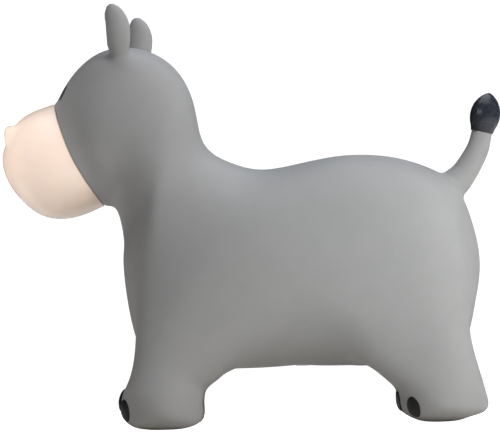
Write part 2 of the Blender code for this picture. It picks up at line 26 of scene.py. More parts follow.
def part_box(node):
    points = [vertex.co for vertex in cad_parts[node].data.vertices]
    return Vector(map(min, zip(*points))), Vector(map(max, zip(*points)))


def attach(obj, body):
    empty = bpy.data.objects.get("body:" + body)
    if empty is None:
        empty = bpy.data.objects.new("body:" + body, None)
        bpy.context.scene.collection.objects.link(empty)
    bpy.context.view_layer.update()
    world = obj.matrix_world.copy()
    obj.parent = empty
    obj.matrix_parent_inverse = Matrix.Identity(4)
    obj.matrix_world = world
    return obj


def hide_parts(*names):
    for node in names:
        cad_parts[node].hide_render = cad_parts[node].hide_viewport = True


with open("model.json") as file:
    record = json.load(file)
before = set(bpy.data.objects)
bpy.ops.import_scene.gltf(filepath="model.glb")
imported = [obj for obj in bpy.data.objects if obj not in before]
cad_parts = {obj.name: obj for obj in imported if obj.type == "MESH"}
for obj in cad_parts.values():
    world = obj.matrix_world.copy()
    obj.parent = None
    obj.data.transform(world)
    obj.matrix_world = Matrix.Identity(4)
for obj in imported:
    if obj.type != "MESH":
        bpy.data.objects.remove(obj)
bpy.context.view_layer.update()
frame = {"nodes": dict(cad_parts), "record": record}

MM = 0.001
MERGE_REACH = 0.01 * MM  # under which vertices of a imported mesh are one
QUAD_ANGLE = math.radians(40.0)  # under which two triangles become a quad
WHITE = (1.0, 1.0, 1.0)
Pair = tuple[float, float]
Triple = tuple[float, float, float]
Node = bpy.types.Node
Socket = bpy.types.NodeSocket
Sockets = dict[str, Socket]
BMesh = bmesh.types.BMesh
log = logging.getLogger("donkey")


class Slot(Enum):
    """The record's material slots."""

    GREY = "grey_pvc"
    CREAM = "cream_pvc"
    NAIL = "nail_black"
    TUFT = "tuft_black"
    VALVE = "valve_white"


class Rider(Enum):
    """The moving bodies."""

    DONKEY = "donkey"
    PLUG = "plug"


class Side(Enum):
    """The donkey's own left and right."""

    LEFT = "left"
    RIGHT = "right"


@dataclass
class Wires:
    """Short calls to add and link the nodes of one shader or geometry tree."""

    tree: bpy.types.NodeTree

    @classmethod
    def of(cls, holder: bpy.types.Material | bpy.types.World) -> Wires:
        """Empties a material's or a world's node tree and takes hold of it.

        Args:
            holder: The material or world.

        Returns:
            Its wires.
        """
        holder.use_nodes = True
        holder.node_tree.nodes.clear()
        return cls(holder.node_tree)

    @classmethod
    def of_group(cls, name: str, kind: str, inputs: dict[str, object], outputs: Sequence[str],
                 output_kind: str) -> tuple[Wires, Sockets, Sockets]:
        """Makes an empty node group with its sockets.

        Args:
            name: The group's name.
            kind: Shader or Geometry.
            inputs: Socket kinds, or kinds and first values, by socket name.
            outputs: Names of the outputs.
            output_kind: Their socket kind.

        Returns:
            The wires, what the group takes in and what it gives out, by socket name.
        """
        group = bpy.data.node_groups.new(name, f"{kind}NodeTree")
        for label, form in inputs.items():
            socket_kind, value = form if isinstance(form, tuple) else (form, None)
            socket = group.interface.new_socket(label, in_out="INPUT", socket_type=f"NodeSocket{socket_kind}")
            if value is not None:
                socket.default_value = value
        for label in outputs:
            group.interface.new_socket(label, in_out="OUTPUT", socket_type=f"NodeSocket{output_kind}")
        wires = cls(group)
        ins = wires.node("NodeGroupInput").outputs
        outs = wires.node("NodeGroupOutput").inputs
        return wires, {s.name: s for s in ins if s.name}, {s.name: s for s in outs if s.name}

    def feed(self, socket: Socket, source: object) -> None:
        """Links a socket, or sets its value.

        Args:
            socket: The input.
            source: An output, a node, whose first output it takes, or a plain value.
        """
        if isinstance(source, Node):
            source = source.outputs[0]
        if isinstance(source, Socket):
            self.tree.links.new(source, socket)
        elif socket.type == "RGBA":
            socket.default_value = (*source, 1.0)
        else:
            socket.default_value = source

    def node(self, kind: str, inputs: dict[str | int, object] | None = None, **settings: object) -> Node:
        """Adds a node.

        Args:
            kind: The node's type name.
            inputs: What its inputs get, by their names or places.
            settings: Properties to set on it.

        Returns:
            The new node.
        """
        made = self.tree.nodes.new(kind)
        for name, value in settings.items():
            setattr(made, name, value)
        for key, source in (inputs or {}).items():
            self.feed(made.inputs[key], source)
        return made

    def math(self, operation: str, *terms: object) -> Socket:
        """Gives the result of a Math node."""
        return self.node("ShaderNodeMath", dict(enumerate(terms)), operation=operation).outputs[0]

    def times(self, *terms: object) -> Socket:
        """Gives the product of two terms, plus the third if there is one."""
        return self.math("MULTIPLY_ADD" if len(terms) > 2 else "MULTIPLY", *terms)

    def vector_math(self, operation: str, *terms: object, **named: object) -> Socket:
        """Gives the result of a Vector Math node."""
        made = self.node("ShaderNodeVectorMath", {**dict(enumerate(terms)), **named}, operation=operation)
        return next(o for o in made.outputs if o.enabled)

    def ramp(self, value: object, low: float, high: float, out: Pair = (0.0, 1.0),
             kind: str = "SMOOTHSTEP") -> Socket:
        """Maps a value from low and high to the two results in out."""
        inputs = {"Value": value, "From Min": low, "From Max": high, "To Min": out[0], "To Max": out[1]}
        return self.node("ShaderNodeMapRange", inputs, interpolation_type=kind).outputs["Result"]

    def noise(self, place: object, scale: object, detail: float = 2.0, rough: float = 0.5) -> Socket:
        """Gives a noise about 0.5, by its blotches to the metre, its octaves and their strength."""
        inputs = {"Vector": place, "Scale": scale, "Detail": detail, "Roughness": rough}
        return self.node("ShaderNodeTexNoise", inputs).outputs["Fac"]

    def mix(self, share: object, first: object, second: object) -> Socket:
        """Mixes two colours, on the node's sockets 6, 7 and 2, by the share of the second."""
        return self.node("ShaderNodeMix", {0: share, 6: first, 7: second}, data_type="RGBA").outputs[2]

    def mix_shaders(self, share: object, first: Node, second: Node) -> Node:
        """Mixes two shaders by the share of the second."""
        return self.node("ShaderNodeMixShader", {0: share, 1: first, 2: second})

    def split(self, place: object) -> bpy.types.NodeOutputs:
        """Gives the X, Y and Z of a vector."""
        return self.node("ShaderNodeSeparateXYZ", {0: place}).outputs

    def attribute(self, name: str) -> Socket:
        """Reads a vector attribute of the mesh."""
        made = self.node("GeometryNodeInputNamedAttribute", {"Name": name}, data_type="FLOAT_VECTOR")
        return made.outputs[0]


class EffectGroups:
    """Shader groups that more than one finish uses, each built once.

    Attributes:
        GRAIN, SEAM, HANDLING, SCUFF: The groups' names.
        MOTTLE_SIZE: Size of the slow drifts.
        PORES_TO_MOTTLE: How many pores there are to such a drift.
        PORE_SHARES: How much of the tone and of the gloss the pores make up.
        SEAM_WIDTH: Width of the parting line.
        SEAM_BENDS: How many times it wanders to the metre.
        RUB_BLOTCHES: Blotches to the metre at the edge of a handled place.
        RUB_BREAK: How far they break up that edge.
        RUB_FADE: Shares of the reach between which the polish comes up.
        SCUFF_TOP: Up to which height a sole is scuffed.
        SCUFF_MARKS: Marks to the metre.
        SCUFF_FADE: Values of their noise between which a mark comes up.
    """

    GRAIN = "moulded_grain"
    SEAM = "mould_parting_line"
    HANDLING = "polish_of_handling"
    SCUFF = "floor_scuff"
    MOTTLE_SIZE = 30 * MM
    PORES_TO_MOTTLE = 3.0
    PORE_SHARES = (0.3, 0.6)
    SEAM_WIDTH = 1.2 * MM
    SEAM_BENDS = 25.0
    RUB_BLOTCHES = 60.0
    RUB_BREAK = 0.8
    RUB_FADE = (1.0, 0.2)
    SCUFF_TOP = 14 * MM
    SCUFF_MARKS = 160.0
    SCUFF_FADE = (0.45, 0.7)

    @classmethod
    def build(cls) -> None:
        """Builds every group."""
        for draw in (cls._grain, cls._seam, cls._handling, cls._scuff):
            draw()

    @staticmethod
    def put(wires: Wires, name: str, place: Socket,
            values: dict[str, object] | None = None) -> bpy.types.NodeOutputs:
        """Puts a group in a material and gives its outputs."""
        inputs = {"Place": place, **(values or {})}
        return wires.node("ShaderNodeGroup", inputs, node_tree=bpy.data.node_groups[name]).outputs

    @classmethod
    def _grain(cls) -> None:
        """Fine stipple of a slush-moulded surface, with slow drifts of tone and gloss."""
        wires, ins, outs = Wires.of_group(cls.GRAIN, "Shader", {
            "Place": "Vector", "Stipple Size": "Float", "Mottle Size": ("Float", cls.MOTTLE_SIZE),
        }, ("Tone", "Gloss", "Height"), "Float")
        place, mottle_size = ins["Place"], ins["Mottle Size"]
        stipple = wires.noise(place, wires.math("DIVIDE", 1.0, ins["Stipple Size"]), 2.0, 0.6)
        pores = wires.noise(place, wires.math("DIVIDE", cls.PORES_TO_MOTTLE, mottle_size), 1.0)
        mottle = wires.noise(place, wires.math("DIVIDE", 1.0, mottle_size))
        in_tone, in_gloss = cls.PORE_SHARES
        wires.feed(outs["Tone"], wires.times(pores, in_tone, wires.times(mottle, 1.0 - in_tone)))
        wires.feed(outs["Gloss"], wires.times(stipple, 1.0 - in_gloss, wires.times(pores, in_gloss)))
        wires.feed(outs["Height"], stipple)

    @classmethod
    def _seam(cls) -> None:
        """The faint raised line where the mould's two halves met, along the middle plane."""
        wires, ins, outs = Wires.of_group(cls.SEAM, "Shader", {
            "Place": "Vector", "Width": ("Float", cls.SEAM_WIDTH)}, ("Ridge",), "Float")
        wander = wires.math("SUBTRACT", wires.noise(ins["Place"], cls.SEAM_BENDS, 1.0), 0.5)
        off = wires.times(wander, ins["Width"], wires.split(ins["Place"])["Y"])
        near = wires.math("DIVIDE", wires.math("ABSOLUTE", off), ins["Width"])
        wires.feed(outs["Ridge"], wires.ramp(near, 0.5, 0.0))

    @classmethod
    def _handling(cls) -> None:
        """Where hands and clothes have rubbed the surface a little smoother, round one place."""
        wires, ins, outs = Wires.of_group(cls.HANDLING, "Shader", {
            "Place": "Vector", "Centre": "Vector", "Reach": "Float"}, ("Mask",), "Float")
        share = wires.math("DIVIDE", wires.vector_math("DISTANCE", ins["Place"], ins["Centre"]), ins["Reach"])
        broken = wires.math("SUBTRACT", wires.noise(ins["Place"], cls.RUB_BLOTCHES, 3.0), 0.5)
        wires.feed(outs["Mask"], wires.ramp(wires.times(broken, cls.RUB_BREAK, share), *cls.RUB_FADE))

    @classmethod
    def _scuff(cls) -> None:
        """Dull traces of the floor, low on the soles."""
        wires, ins, outs = Wires.of_group(cls.SCUFF, "Shader", {
            "Place": "Vector", "Top": ("Float", cls.SCUFF_TOP)}, ("Mask",), "Float")
        rise = wires.math("DIVIDE", wires.split(ins["Place"])["Z"], ins["Top"])
        marks = wires.noise(ins["Place"], cls.SCUFF_MARKS, 4.0, 0.65)
        low_down = wires.ramp(rise, 1.0, 0.0)
        wires.feed(outs["Mask"], wires.times(low_down, wires.ramp(marks, *cls.SCUFF_FADE)))


@dataclass(frozen=True)
class Finish:
    """What the toy's finishes share.

    Attributes:
        name: The material's name.
        colour: Linear base colour.
        second: Linear colour of the scuffed soles, or of a lacquer's lighter blotches, which are painted sheen.
        roughness: Lowest and highest roughness.
        specular: Strength of the surface's mirror part.
        grain: The middle part of the grain, over which tone and gloss change.
    """

    name: str
    colour: Triple
    second: Triple
    roughness: Pair = (0.56, 0.64)
    specular: float = 0.3
    grain: Pair = (0.3, 0.7)

    def _start(self) -> tuple[bpy.types.Material, Wires, Socket]:
        """Starts the material.

        Returns:
            The material, its wires and its Object coordinates.
        """
        material = bpy.data.materials.new(self.name)
        wires = Wires.of(material)
        return material, wires, wires.node("ShaderNodeTexCoord").outputs["Object"]

    def _dress(self, wires: Wires, colour: object, rough: object, height: object) -> None:
        """Adds the shader.

        Args:
            wires: The material's wires.
            colour: What feeds its colour.
            rough: What feeds its roughness.
            height: The height of its relief in metres.
        """
        shader = wires.node("ShaderNodeBsdfPrincipled", {
            "Base Color": colour, "Roughness": rough, "Specular IOR Level": self.specular,
            "Normal": wires.node("ShaderNodeBump", {"Distance": 1.0, "Height": height})})
        wires.node("ShaderNodeOutputMaterial", {"Surface": shader})


@dataclass(frozen=True)
class SoftPvc(Finish):
    """Satin soft PVC, moulded: a base colour that drifts a little, fine stipple and a parting line.

    Attributes:
        drift: How far the tone drifts, as a share.
        stipple: Size of the stipple.
        stipple_depth: Height of the stipple.
        seam_depth: Height of the parting line.
        handled: Centres and reaches of the places that hands and clothes polish.
    """

    drift: float = 0.02
    stipple: float = 0.9 * MM
    stipple_depth: float = 0.02 * MM
    seam_depth: float = 0.12 * MM
    handled: tuple[tuple[Triple, float], ...] = ()

    def build(self) -> bpy.types.Material:
        """Makes the material.

        Returns:
            The new material.
        """
        material, wires, place = self._start()
        grain = EffectGroups.put(wires, EffectGroups.GRAIN, place, {"Stipple Size": self.stipple})
        seam = EffectGroups.put(wires, EffectGroups.SEAM, place)
        scuff = EffectGroups.put(wires, EffectGroups.SCUFF, place)
        dark, light = ([c * (1.0 + drift) for c in self.colour] for drift in (-self.drift, self.drift))
        tone = wires.mix(wires.ramp(grain["Tone"], *self.grain), dark, light)
        low, high = self.roughness
        rough = wires.ramp(grain["Gloss"], *self.grain, (low, high))
        for centre, reach in self.handled:
            spot = EffectGroups.put(wires, EffectGroups.HANDLING, place, {"Centre": centre, "Reach": reach})
            rough = wires.times(spot["Mask"], low - high, rough)
        height = wires.times(seam["Ridge"], self.seam_depth, wires.times(grain["Height"], self.stipple_depth))
        self._dress(wires, wires.mix(scuff["Mask"], tone, self.second), rough, height)
        return material


@dataclass(frozen=True)
class BlackLacquer(Finish):
    """Sprayed black of the toenails, eyes and tuft: smooth, with a soft orange peel and random lighter blotches
    of painted sheen.

    Attributes:
        tone: The middle part of the grain, over which the colour changes.
        peel: Size of the orange peel.
        mottle_to_peel: How much larger the drifts of tone are.
        peel_depth: Height of the orange peel.
    """

    # tone: The middle part of the grain, over which the colour changes to the painted sheen.
    tone: Pair = (0.35, 0.65)
    peel: float = 2.5 * MM
    mottle_to_peel: float = 4.0
    peel_depth: float = 0.008 * MM

    def build(self) -> bpy.types.Material:
        """Makes the material.

        Returns:
            The new material.
        """
        material, wires, place = self._start()
        sizes = {"Stipple Size": self.peel, "Mottle Size": self.mottle_to_peel * self.peel}
        grain = EffectGroups.put(wires, EffectGroups.GRAIN, place, sizes)
        # Painted sheen: the black turns to a lighter colour in random blotches.
        colour = wires.mix(wires.ramp(grain["Tone"], *self.tone), self.colour, self.second)
        self._dress(wires, colour, wires.ramp(grain["Gloss"], *self.grain, self.roughness),
                    wires.times(grain["Height"], self.peel_depth))
        return material


def linked(name: str, data: bpy.types.ID) -> bpy.types.Object:
    """Makes an object of a mesh, light or camera and links it to the scene.

    Args:
        name: The object's name.
        data: The mesh, light or camera.

    Returns:
        The object.
    """
    made = bpy.data.objects.new(name, data)
    bpy.context.scene.collection.objects.link(made)
    return made


@dataclass
class Form:
    """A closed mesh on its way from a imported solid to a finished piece."""

    obj: bpy.types.Object

    @classmethod
    def of_node(cls, node: str) -> Form:
        """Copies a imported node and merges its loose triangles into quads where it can.

        Args:
            node: The node's name.

        Returns:
            The copy.
        """
        copied = bmesh.new()
        copied.from_mesh(frame["nodes"][node].data)
        bmesh.ops.remove_doubles(copied, verts=copied.verts, dist=MERGE_REACH)
        bmesh.ops.join_triangles(copied, faces=copied.faces, angle_face_threshold=QUAD_ANGLE,
                                 angle_shape_threshold=QUAD_ANGLE)
        return cls.of_bmesh(f"form_{node}", copied)

    @classmethod
    def of_bmesh(cls, name: str, shape: BMesh) -> Form:
        """Makes an object of a bmesh and frees it.

        Args:
            name: The object's name.
            shape: The bmesh.

        Returns:
            The new form.
        """
        mesh = bpy.data.meshes.new(name)
        shape.to_mesh(mesh)
        shape.free()
        return cls(linked(name, mesh))

    @classmethod
    def of_tree(cls, name: str, mesh: bpy.types.Mesh, tree: bpy.types.NodeTree,
                values: dict[str, object]) -> Form:
        """Draws a form with a Geometry Nodes tree, whose inputs are set by their identifiers.

        Args:
            name: The object's name.
            mesh: The mesh that the tree starts from.
            tree: The tree.
            values: Values by the names of the tree's inputs.

        Returns:
            The result as a plain mesh.
        """
        form = cls(linked(name, mesh))
        modifier = form.obj.modifiers.new(tree.name, "NODES")
        modifier.node_group = tree
        for item in tree.interface.items_tree:
            if item.item_type == "SOCKET" and item.in_out == "INPUT" and item.name in values:
                modifier[item.identifier] = values[item.name]
        return form.bake()

    @contextmanager
    def opened(self, keep: bool = True) -> Iterator[BMesh]:
        """Opens the mesh as a bmesh.

        Args:
            keep: Whether its changes go back into the mesh.

        Yields:
            The bmesh.
        """
        shape = bmesh.new()
        shape.from_mesh(self.obj.data)
        yield shape
        if keep:
            shape.to_mesh(self.obj.data)
        shape.free()

    def bake(self) -> Form:
        """Applies what the modifiers give to the mesh.

        Returns:
            This form.
        """
        graph = bpy.context.evaluated_depsgraph_get()
        baked = bpy.data.meshes.new_from_object(self.obj.evaluated_get(graph))
        old = self.obj.data
        self.obj.modifiers.clear()
        self.obj.data = baked
        bpy.context.view_layer.update()
        bpy.data.meshes.remove(old)
        return self

    def modified(self, kind: str, **settings: object) -> Form:
        """Applies one modifier.

        Args:
            kind: Its kind.
            settings: Properties to set on it.

        Returns:
            This form.
        """
        modifier = self.obj.modifiers.new(kind.lower(), kind)
        for name, value in settings.items():
            setattr(modifier, name, value)
        return self.bake()

    def subdivide(self, levels: int, crease_deg: float = 180.0) -> Form:
        """Rounds the facets, and keeps the edges that are sharper than an angle.

        Args:
            levels: Subdivision levels.
            crease_deg: The angle.

        Returns:
            This form.
        """
        with self.opened() as shape:
            crease = shape.edges.layers.float.new("crease_edge")
            for edge in sharp_edges(shape, crease_deg):
                edge[crease] = 1.0
        return self.modified("SUBSURF", levels=levels, render_levels=levels)

    def voxels(self, size: float) -> Form:
        """Grows touching shells into one even skin of small quads of a size."""
        return self.modified("REMESH", mode="VOXEL", voxel_size=size)

    def add(self, other: Form) -> None:
        """Takes in another form's mesh and removes that form.

        Args:
            other: The other form.
        """
        with self.opened() as shape:
            shape.from_mesh(other.obj.data)
        other.remove()

    def cut(self, cutter: Form) -> None:
        """Cuts another form away and removes that form."""
        self.modified("BOOLEAN", operation="DIFFERENCE", solver="EXACT", object=cutter.obj)
        cutter.remove()

    def rows(self, what: str = "co") -> np.ndarray:
        """Reads the vertices' places or normals.

        Args:
            what: The places' or the normals' name in Blender.

        Returns:
            One row for each vertex.
        """
        flat = np.empty(3 * len(self.obj.data.vertices))
        self.obj.data.vertices.foreach_get(what, flat)
        return flat.reshape(-1, 3)

    def set_places(self, places: np.ndarray) -> Form:
        """Moves the vertices.

        Args:
            places: One row for each vertex.

        Returns:
            This form.
        """
        self.obj.data.vertices.foreach_set("co", places.ravel())
        self.obj.data.update()
        return self

    def relax(self, strength: np.ndarray | float, steps: int) -> None:
        """Draws each vertex towards the middle of its neighbours.

        Args:
            strength: How far each goes in a step, as a share.
            steps: How many steps.
        """
        mesh = self.obj.data
        edges = np.empty(len(mesh.edges) * 2, dtype=np.int64)
        mesh.edges.foreach_get("vertices", edges)
        first, second = edges.reshape(-1, 2).T
        count = len(mesh.vertices)
        share = np.broadcast_to(np.asarray(strength, float), (count,))[:, None]
        degree = np.bincount(first, minlength=count) + np.bincount(second, minlength=count)
        places = self.rows()
        for _ in range(steps):
            total = np.empty_like(places)
            for axis in range(3):
                total[:, axis] = (np.bincount(first, places[second, axis], count)
                                  + np.bincount(second, places[first, axis], count))
            places += share * (total / degree[:, None] - places)
        self.set_places(places)

    def tree(self) -> BVHTree:
        """Gives a search tree over the faces."""
        with self.opened(keep=False) as shape:
            return BVHTree.FromBMesh(shape)

    def remove(self) -> None:
        """Removes the object and its mesh."""
        mesh = self.obj.data
        bpy.data.objects.remove(self.obj)
        bpy.context.view_layer.update()
        bpy.data.meshes.remove(mesh)

    def finish(self, name: str, material: bpy.types.Material, slot: Slot, rider: Rider,
               nodes: Sequence[str], sharp_deg: float = 180.0) -> bpy.types.Object:
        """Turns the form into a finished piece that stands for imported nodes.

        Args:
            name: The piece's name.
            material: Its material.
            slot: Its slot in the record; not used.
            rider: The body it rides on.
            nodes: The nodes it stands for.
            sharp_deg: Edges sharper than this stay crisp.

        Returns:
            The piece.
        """
        self.obj.name = self.obj.data.name = name
        self.obj.data.materials.clear()
        self.obj.data.materials.append(material)
        self.obj.data.shade_smooth()
        if sharp_deg < 180.0:
            self.obj.data.set_sharp_from_angle(angle=math.radians(sharp_deg))
        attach(self.obj, rider.value)
        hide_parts(*nodes)
        log.info("%s: %d faces", name, len(self.obj.data.polygons))
        return self.obj


def sharp_edges(shape: BMesh, angle_deg: float) -> list[bmesh.types.BMEdge]:
    """Finds the edges that are sharper than an angle."""
    angle = math.radians(angle_deg)
    return [e for e in shape.edges if len(e.link_faces) == 2 and e.calc_face_angle() > angle]


def smooth_share(value: np.ndarray, low: float, high: float) -> np.ndarray:
    """Goes softly from 0 at low to 1 at high."""
    share = np.clip((value - low) / (high - low), 0.0, 1.0)
    return share * share * (3.0 - 2.0 * share)


def fade(value: np.ndarray, reach: float, start: float) -> np.ndarray:
    """Goes softly from 1 at a share of the reach to 0 at its end."""
    return 1.0 - smooth_share(value, start * reach, reach)


def band(value: np.ndarray, rise: Pair, fall: Pair) -> np.ndarray:
    """Goes softly up to 1 over the first range and back to 0 over the second."""
    return smooth_share(value, *rise) * (1.0 - smooth_share(value, *fall))


def distances(tree: BVHTree, places: np.ndarray) -> tuple[np.ndarray, np.ndarray]:
    """Finds the nearest places on a surface.

    Args:
        tree: The surface.
        places: The places to start from.

    Returns:
        The nearest places and how far they are.
    """
    near = np.empty_like(places)
    far = np.empty(len(places))
    for i, place in enumerate(places):
        near[i], _, _, far[i] = tree.find_nearest(Vector(place))
    return near, far


@dataclass
class JointLine:
    """The line along which the muzzle is joined to the head, as it shows from the side.

    Attributes:
        node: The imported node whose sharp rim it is.
        sharp_deg: How sharp that rim is at least.
        front_of: Behind this, sharp edges belong to something else.
        step: How far its points lie apart in height at least.
        points: Its places as rows of X and Z, from the lowest to the highest.
    """

    node: str = "body_skin"
    sharp_deg: float = 35.0
    front_of: float = -160 * MM
    step: float = 0.05 * MM
    points: np.ndarray = field(init=False)

    def __post_init__(self) -> None:
        """Reads the line off the node."""
        form = Form.of_node(self.node)
        with form.opened(keep=False) as shape:
            points = np.array(sorted((v.co.z, v.co.x) for v in self.rim(shape)))
        form.remove()
        apart = np.diff(points[:, 0], prepend=-1.0) > self.step
        self.points = points[apart, ::-1]

    def rim(self, shape: BMesh) -> set[bmesh.types.BMVert]:
        """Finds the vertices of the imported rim."""
        return {v for e in sharp_edges(shape, self.sharp_deg) for v in e.verts if v.co.x < self.front_of}

    def x_at(self, z: np.ndarray | float) -> np.ndarray | float:
        """Gives the line's X at a height."""
        return np.interp(z, self.points[:, 1], self.points[:, 0])


@dataclass
class Cutter:
    """Closed blocks that cut the grown skin to a crisp edge.

    Attributes:
        overrun: How far a block's edge runs on past the ends of the line that it follows.
        ahead: How far the block ahead of a line reaches forward.
        sides: Sides of a turned block.
    """

    overrun: float = 12 * MM
    ahead: float = 120 * MM
    sides: int = 96

    def ahead_of_line(self, line: JointLine, half_width: float) -> Form:
        """Makes a block of all that lies ahead of the muzzle's joint line.

        Args:
            line: The joint line.
            half_width: How far the block reaches to either side.

        Returns:
            The block.
        """
        points = line.points
        ways = points[0] - points[1], points[-1] - points[-2]
        low, high = (end + way / np.linalg.norm(way) * self.overrun
                     for end, way in zip(points[[0, -1]], ways))
        front = min(low[0], high[0]) - self.ahead
        outline = [low, *points, high, (front, high[1]), (front, low[1])]
        shape = bmesh.new()
        face = shape.faces.new([shape.verts.new((x, -half_width, z)) for x, z in outline])
        swept = bmesh.ops.extrude_face_region(shape, geom=[face])
        moved = [v for v in swept["geom"] if isinstance(v, bmesh.types.BMVert)]
        bmesh.ops.translate(shape, verts=moved, vec=(0.0, 2 * half_width, 0.0))
        bmesh.ops.recalc_face_normals(shape, faces=shape.faces)
        return Form.of_bmesh("cutter_ahead", shape)

    def beyond_plane(self, centre: Vector, way: Vector, half_width: float) -> Form:
        """Makes a block that starts at a plane.

        Args:
            centre: A place on the plane.
            way: The direction in which the block lies.
            half_width: Half its width.

        Returns:
            The block.
        """
        shape = bmesh.new()
        bmesh.ops.create_cube(shape, size=2 * half_width)
        turn = way.to_track_quat("Z", "Y").to_matrix().to_4x4()
        shape.transform(Matrix.Translation(centre + way * half_width) @ turn)
        return Form.of_bmesh("cutter_beyond", shape)

    def turned(self, outline: Sequence[Pair], centre: Vector) -> Form:
        """Makes a solid of revolution about an upright axis.

        Args:
            outline: Radius and height from the bottom up; both ends are closed at the axis.
            centre: Where the axis stands; its Z is added to the heights.

        Returns:
            The solid.
        """
        shape = bmesh.new()
        turns = [2 * math.pi * i / self.sides for i in range(self.sides)]
        rings = [[shape.verts.new((radius * math.cos(a), radius * math.sin(a), height))
                  for a in (turns if radius else turns[:1])]
                 for radius, height in ((0.0, outline[0][1]), *outline, (0.0, outline[-1][1]))]
        for low, high in zip(rings, rings[1:]):
            for i in range(self.sides):
                j = (i + 1) % self.sides
                corners = [low[i % len(low)], low[j % len(low)], high[j % len(high)], high[i % len(high)]]
                shape.faces.new(list(dict.fromkeys(corners)))
        bmesh.ops.translate(shape, verts=shape.verts, vec=centre)
        bmesh.ops.recalc_face_normals(shape, faces=shape.faces)
        return Form.of_bmesh("cutter_turned", shape)


@dataclass
class TailEnd:
    """The flat end of the tail, which the tuft sits on.

    Attributes:
        node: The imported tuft.
        flatness: How far off the end's plane its rim may lie.
        down: How far the end's face looks down at least.
        centre: The end's middle.
        way: The direction in which the tuft goes on.
        length: The tuft's length.
        radius: Its largest radius.
    """

    node: str = "tail_tip"
    flatness: float = 0.1 * MM
    down: float = 0.5
    centre: Vector = field(init=False)
    way: Vector = field(init=False)
    length: float = field(init=False)
    radius: float = field(init=False)

    def __post_init__(self) -> None:
        """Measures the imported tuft."""
        form = Form.of_node(self.node)
        places = form.rows()
        tip = places[np.argmax(places[:, 2])]
        base = max(form.obj.data.polygons, key=lambda face: face.area * (face.normal.z < -self.down))
        away = Vector(base.normal).normalized()
        flat = places[np.abs((places - np.array(base.center)) @ np.array(away)) < self.flatness]
        self.centre = Vector((flat.min(0) + flat.max(0)) / 2)
        self.way = -away
        self.length = (Vector(tip) - self.centre).dot(self.way)
        off = places - np.array(self.centre)
        across = off - np.outer(off @ np.array(self.way), np.array(self.way))
        self.radius = float(np.linalg.norm(across, axis=1).max())
        form.remove()


@dataclass
class ValveRecess:
    """The round recess in the belly, with the hole that the valve sits in.

    Attributes:
        node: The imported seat.
        plug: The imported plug.
        margin: From the seat's flange to the wall of the recess.
        flare: How much wider its mouth is.
        flare_depths: How far below its ceiling it starts and ends to widen.
        stem_room: How far the hole goes on past the plug.
        run: How far below the seat the cutter starts.
        gap: Between touching pieces.
        top: Height of the part of the seat that counts as its neck's end.
        rim: Width of the part of the flange that counts as its edge.
        closed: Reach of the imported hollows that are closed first: round the flange, below and above the seat.
        low: The seat's lowest corner.
        high: Its highest corner.
        axis: The middle between them.
        flange: The radius of its flange.
    """

    node: str = "valve_seat"
    plug: str = "valve_plug"
    margin: float = 2.5 * MM
    flare: float = 1.2 * MM
    flare_depths: Pair = (3.4 * MM, 4.6 * MM)
    stem_room: float = 3 * MM
    run: float = 12 * MM
    gap: float = 0.3 * MM
    top: float = 0.1 * MM
    rim: float = 0.5 * MM
    closed: Triple = (3.2 * MM, 6 * MM, 30 * MM)
    low: Vector = field(init=False)
    high: Vector = field(init=False)
    axis: Vector = field(init=False)
    flange: float = field(init=False)

    def __post_init__(self) -> None:
        """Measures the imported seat."""
        self.low, self.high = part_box(self.node)
        self.axis = (self.low + self.high) / 2
        self.flange = (self.high.x - self.low.x) / 2

    def off_axis(self, place: Vector) -> float:
        """Gives a place's distance from the valve's axis."""
        return math.hypot(place.x - self.axis.x, place.y - self.axis.y)

    def close(self, shape: BMesh) -> None:
        """Takes the valve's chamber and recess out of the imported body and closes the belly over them.

        Args:
            shape: The body.
        """
        around, below, above = self.closed
        inside = [v for v in shape.verts if self.off_axis(v.co) < self.flange + around
                  and self.low.z - below < v.co.z < self.high.z + above]
        bmesh.ops.delete(shape, geom=inside, context="VERTS")
        close_rims(shape, lambda place: place.x > 0.0)

    def cutter(self) -> Form:
        """Makes the block that cuts the recess and the hole.

        Returns:
            The block.
        """
        seat = [v.co for v in frame["nodes"][self.node].data.vertices]
        neck = max(self.off_axis(place) for place in seat if place.z > self.high.z - self.top) + self.gap
        ceiling = max(place.z for place in seat if self.off_axis(place) > self.flange - self.rim) + self.gap
        wall = self.flange + self.margin
        mouth = wall + self.flare
        flare_high, flare_low = self.flare_depths
        outline = ((mouth, self.low.z - self.run), (mouth, ceiling - flare_low), (wall, ceiling - flare_high),
                   (wall, ceiling), (neck, ceiling), (neck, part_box(self.plug)[1].z + self.stem_room))
        return Cutter().turned(outline, Vector((self.axis.x, self.axis.y, 0.0)))


def close_rims(shape: BMesh, wanted: Callable[[Vector], bool]) -> None:
    """Closes open rims.

    Args:
        shape: The mesh.
        wanted: Tells by the middle of an edge whether its rim is closed.
    """
    rim = [e for e in shape.edges if len(e.link_faces) == 1 and wanted((e.verts[0].co + e.verts[1].co) / 2)]
    bmesh.ops.triangulate(shape, faces=bmesh.ops.holes_fill(shape, edges=rim)["faces"])


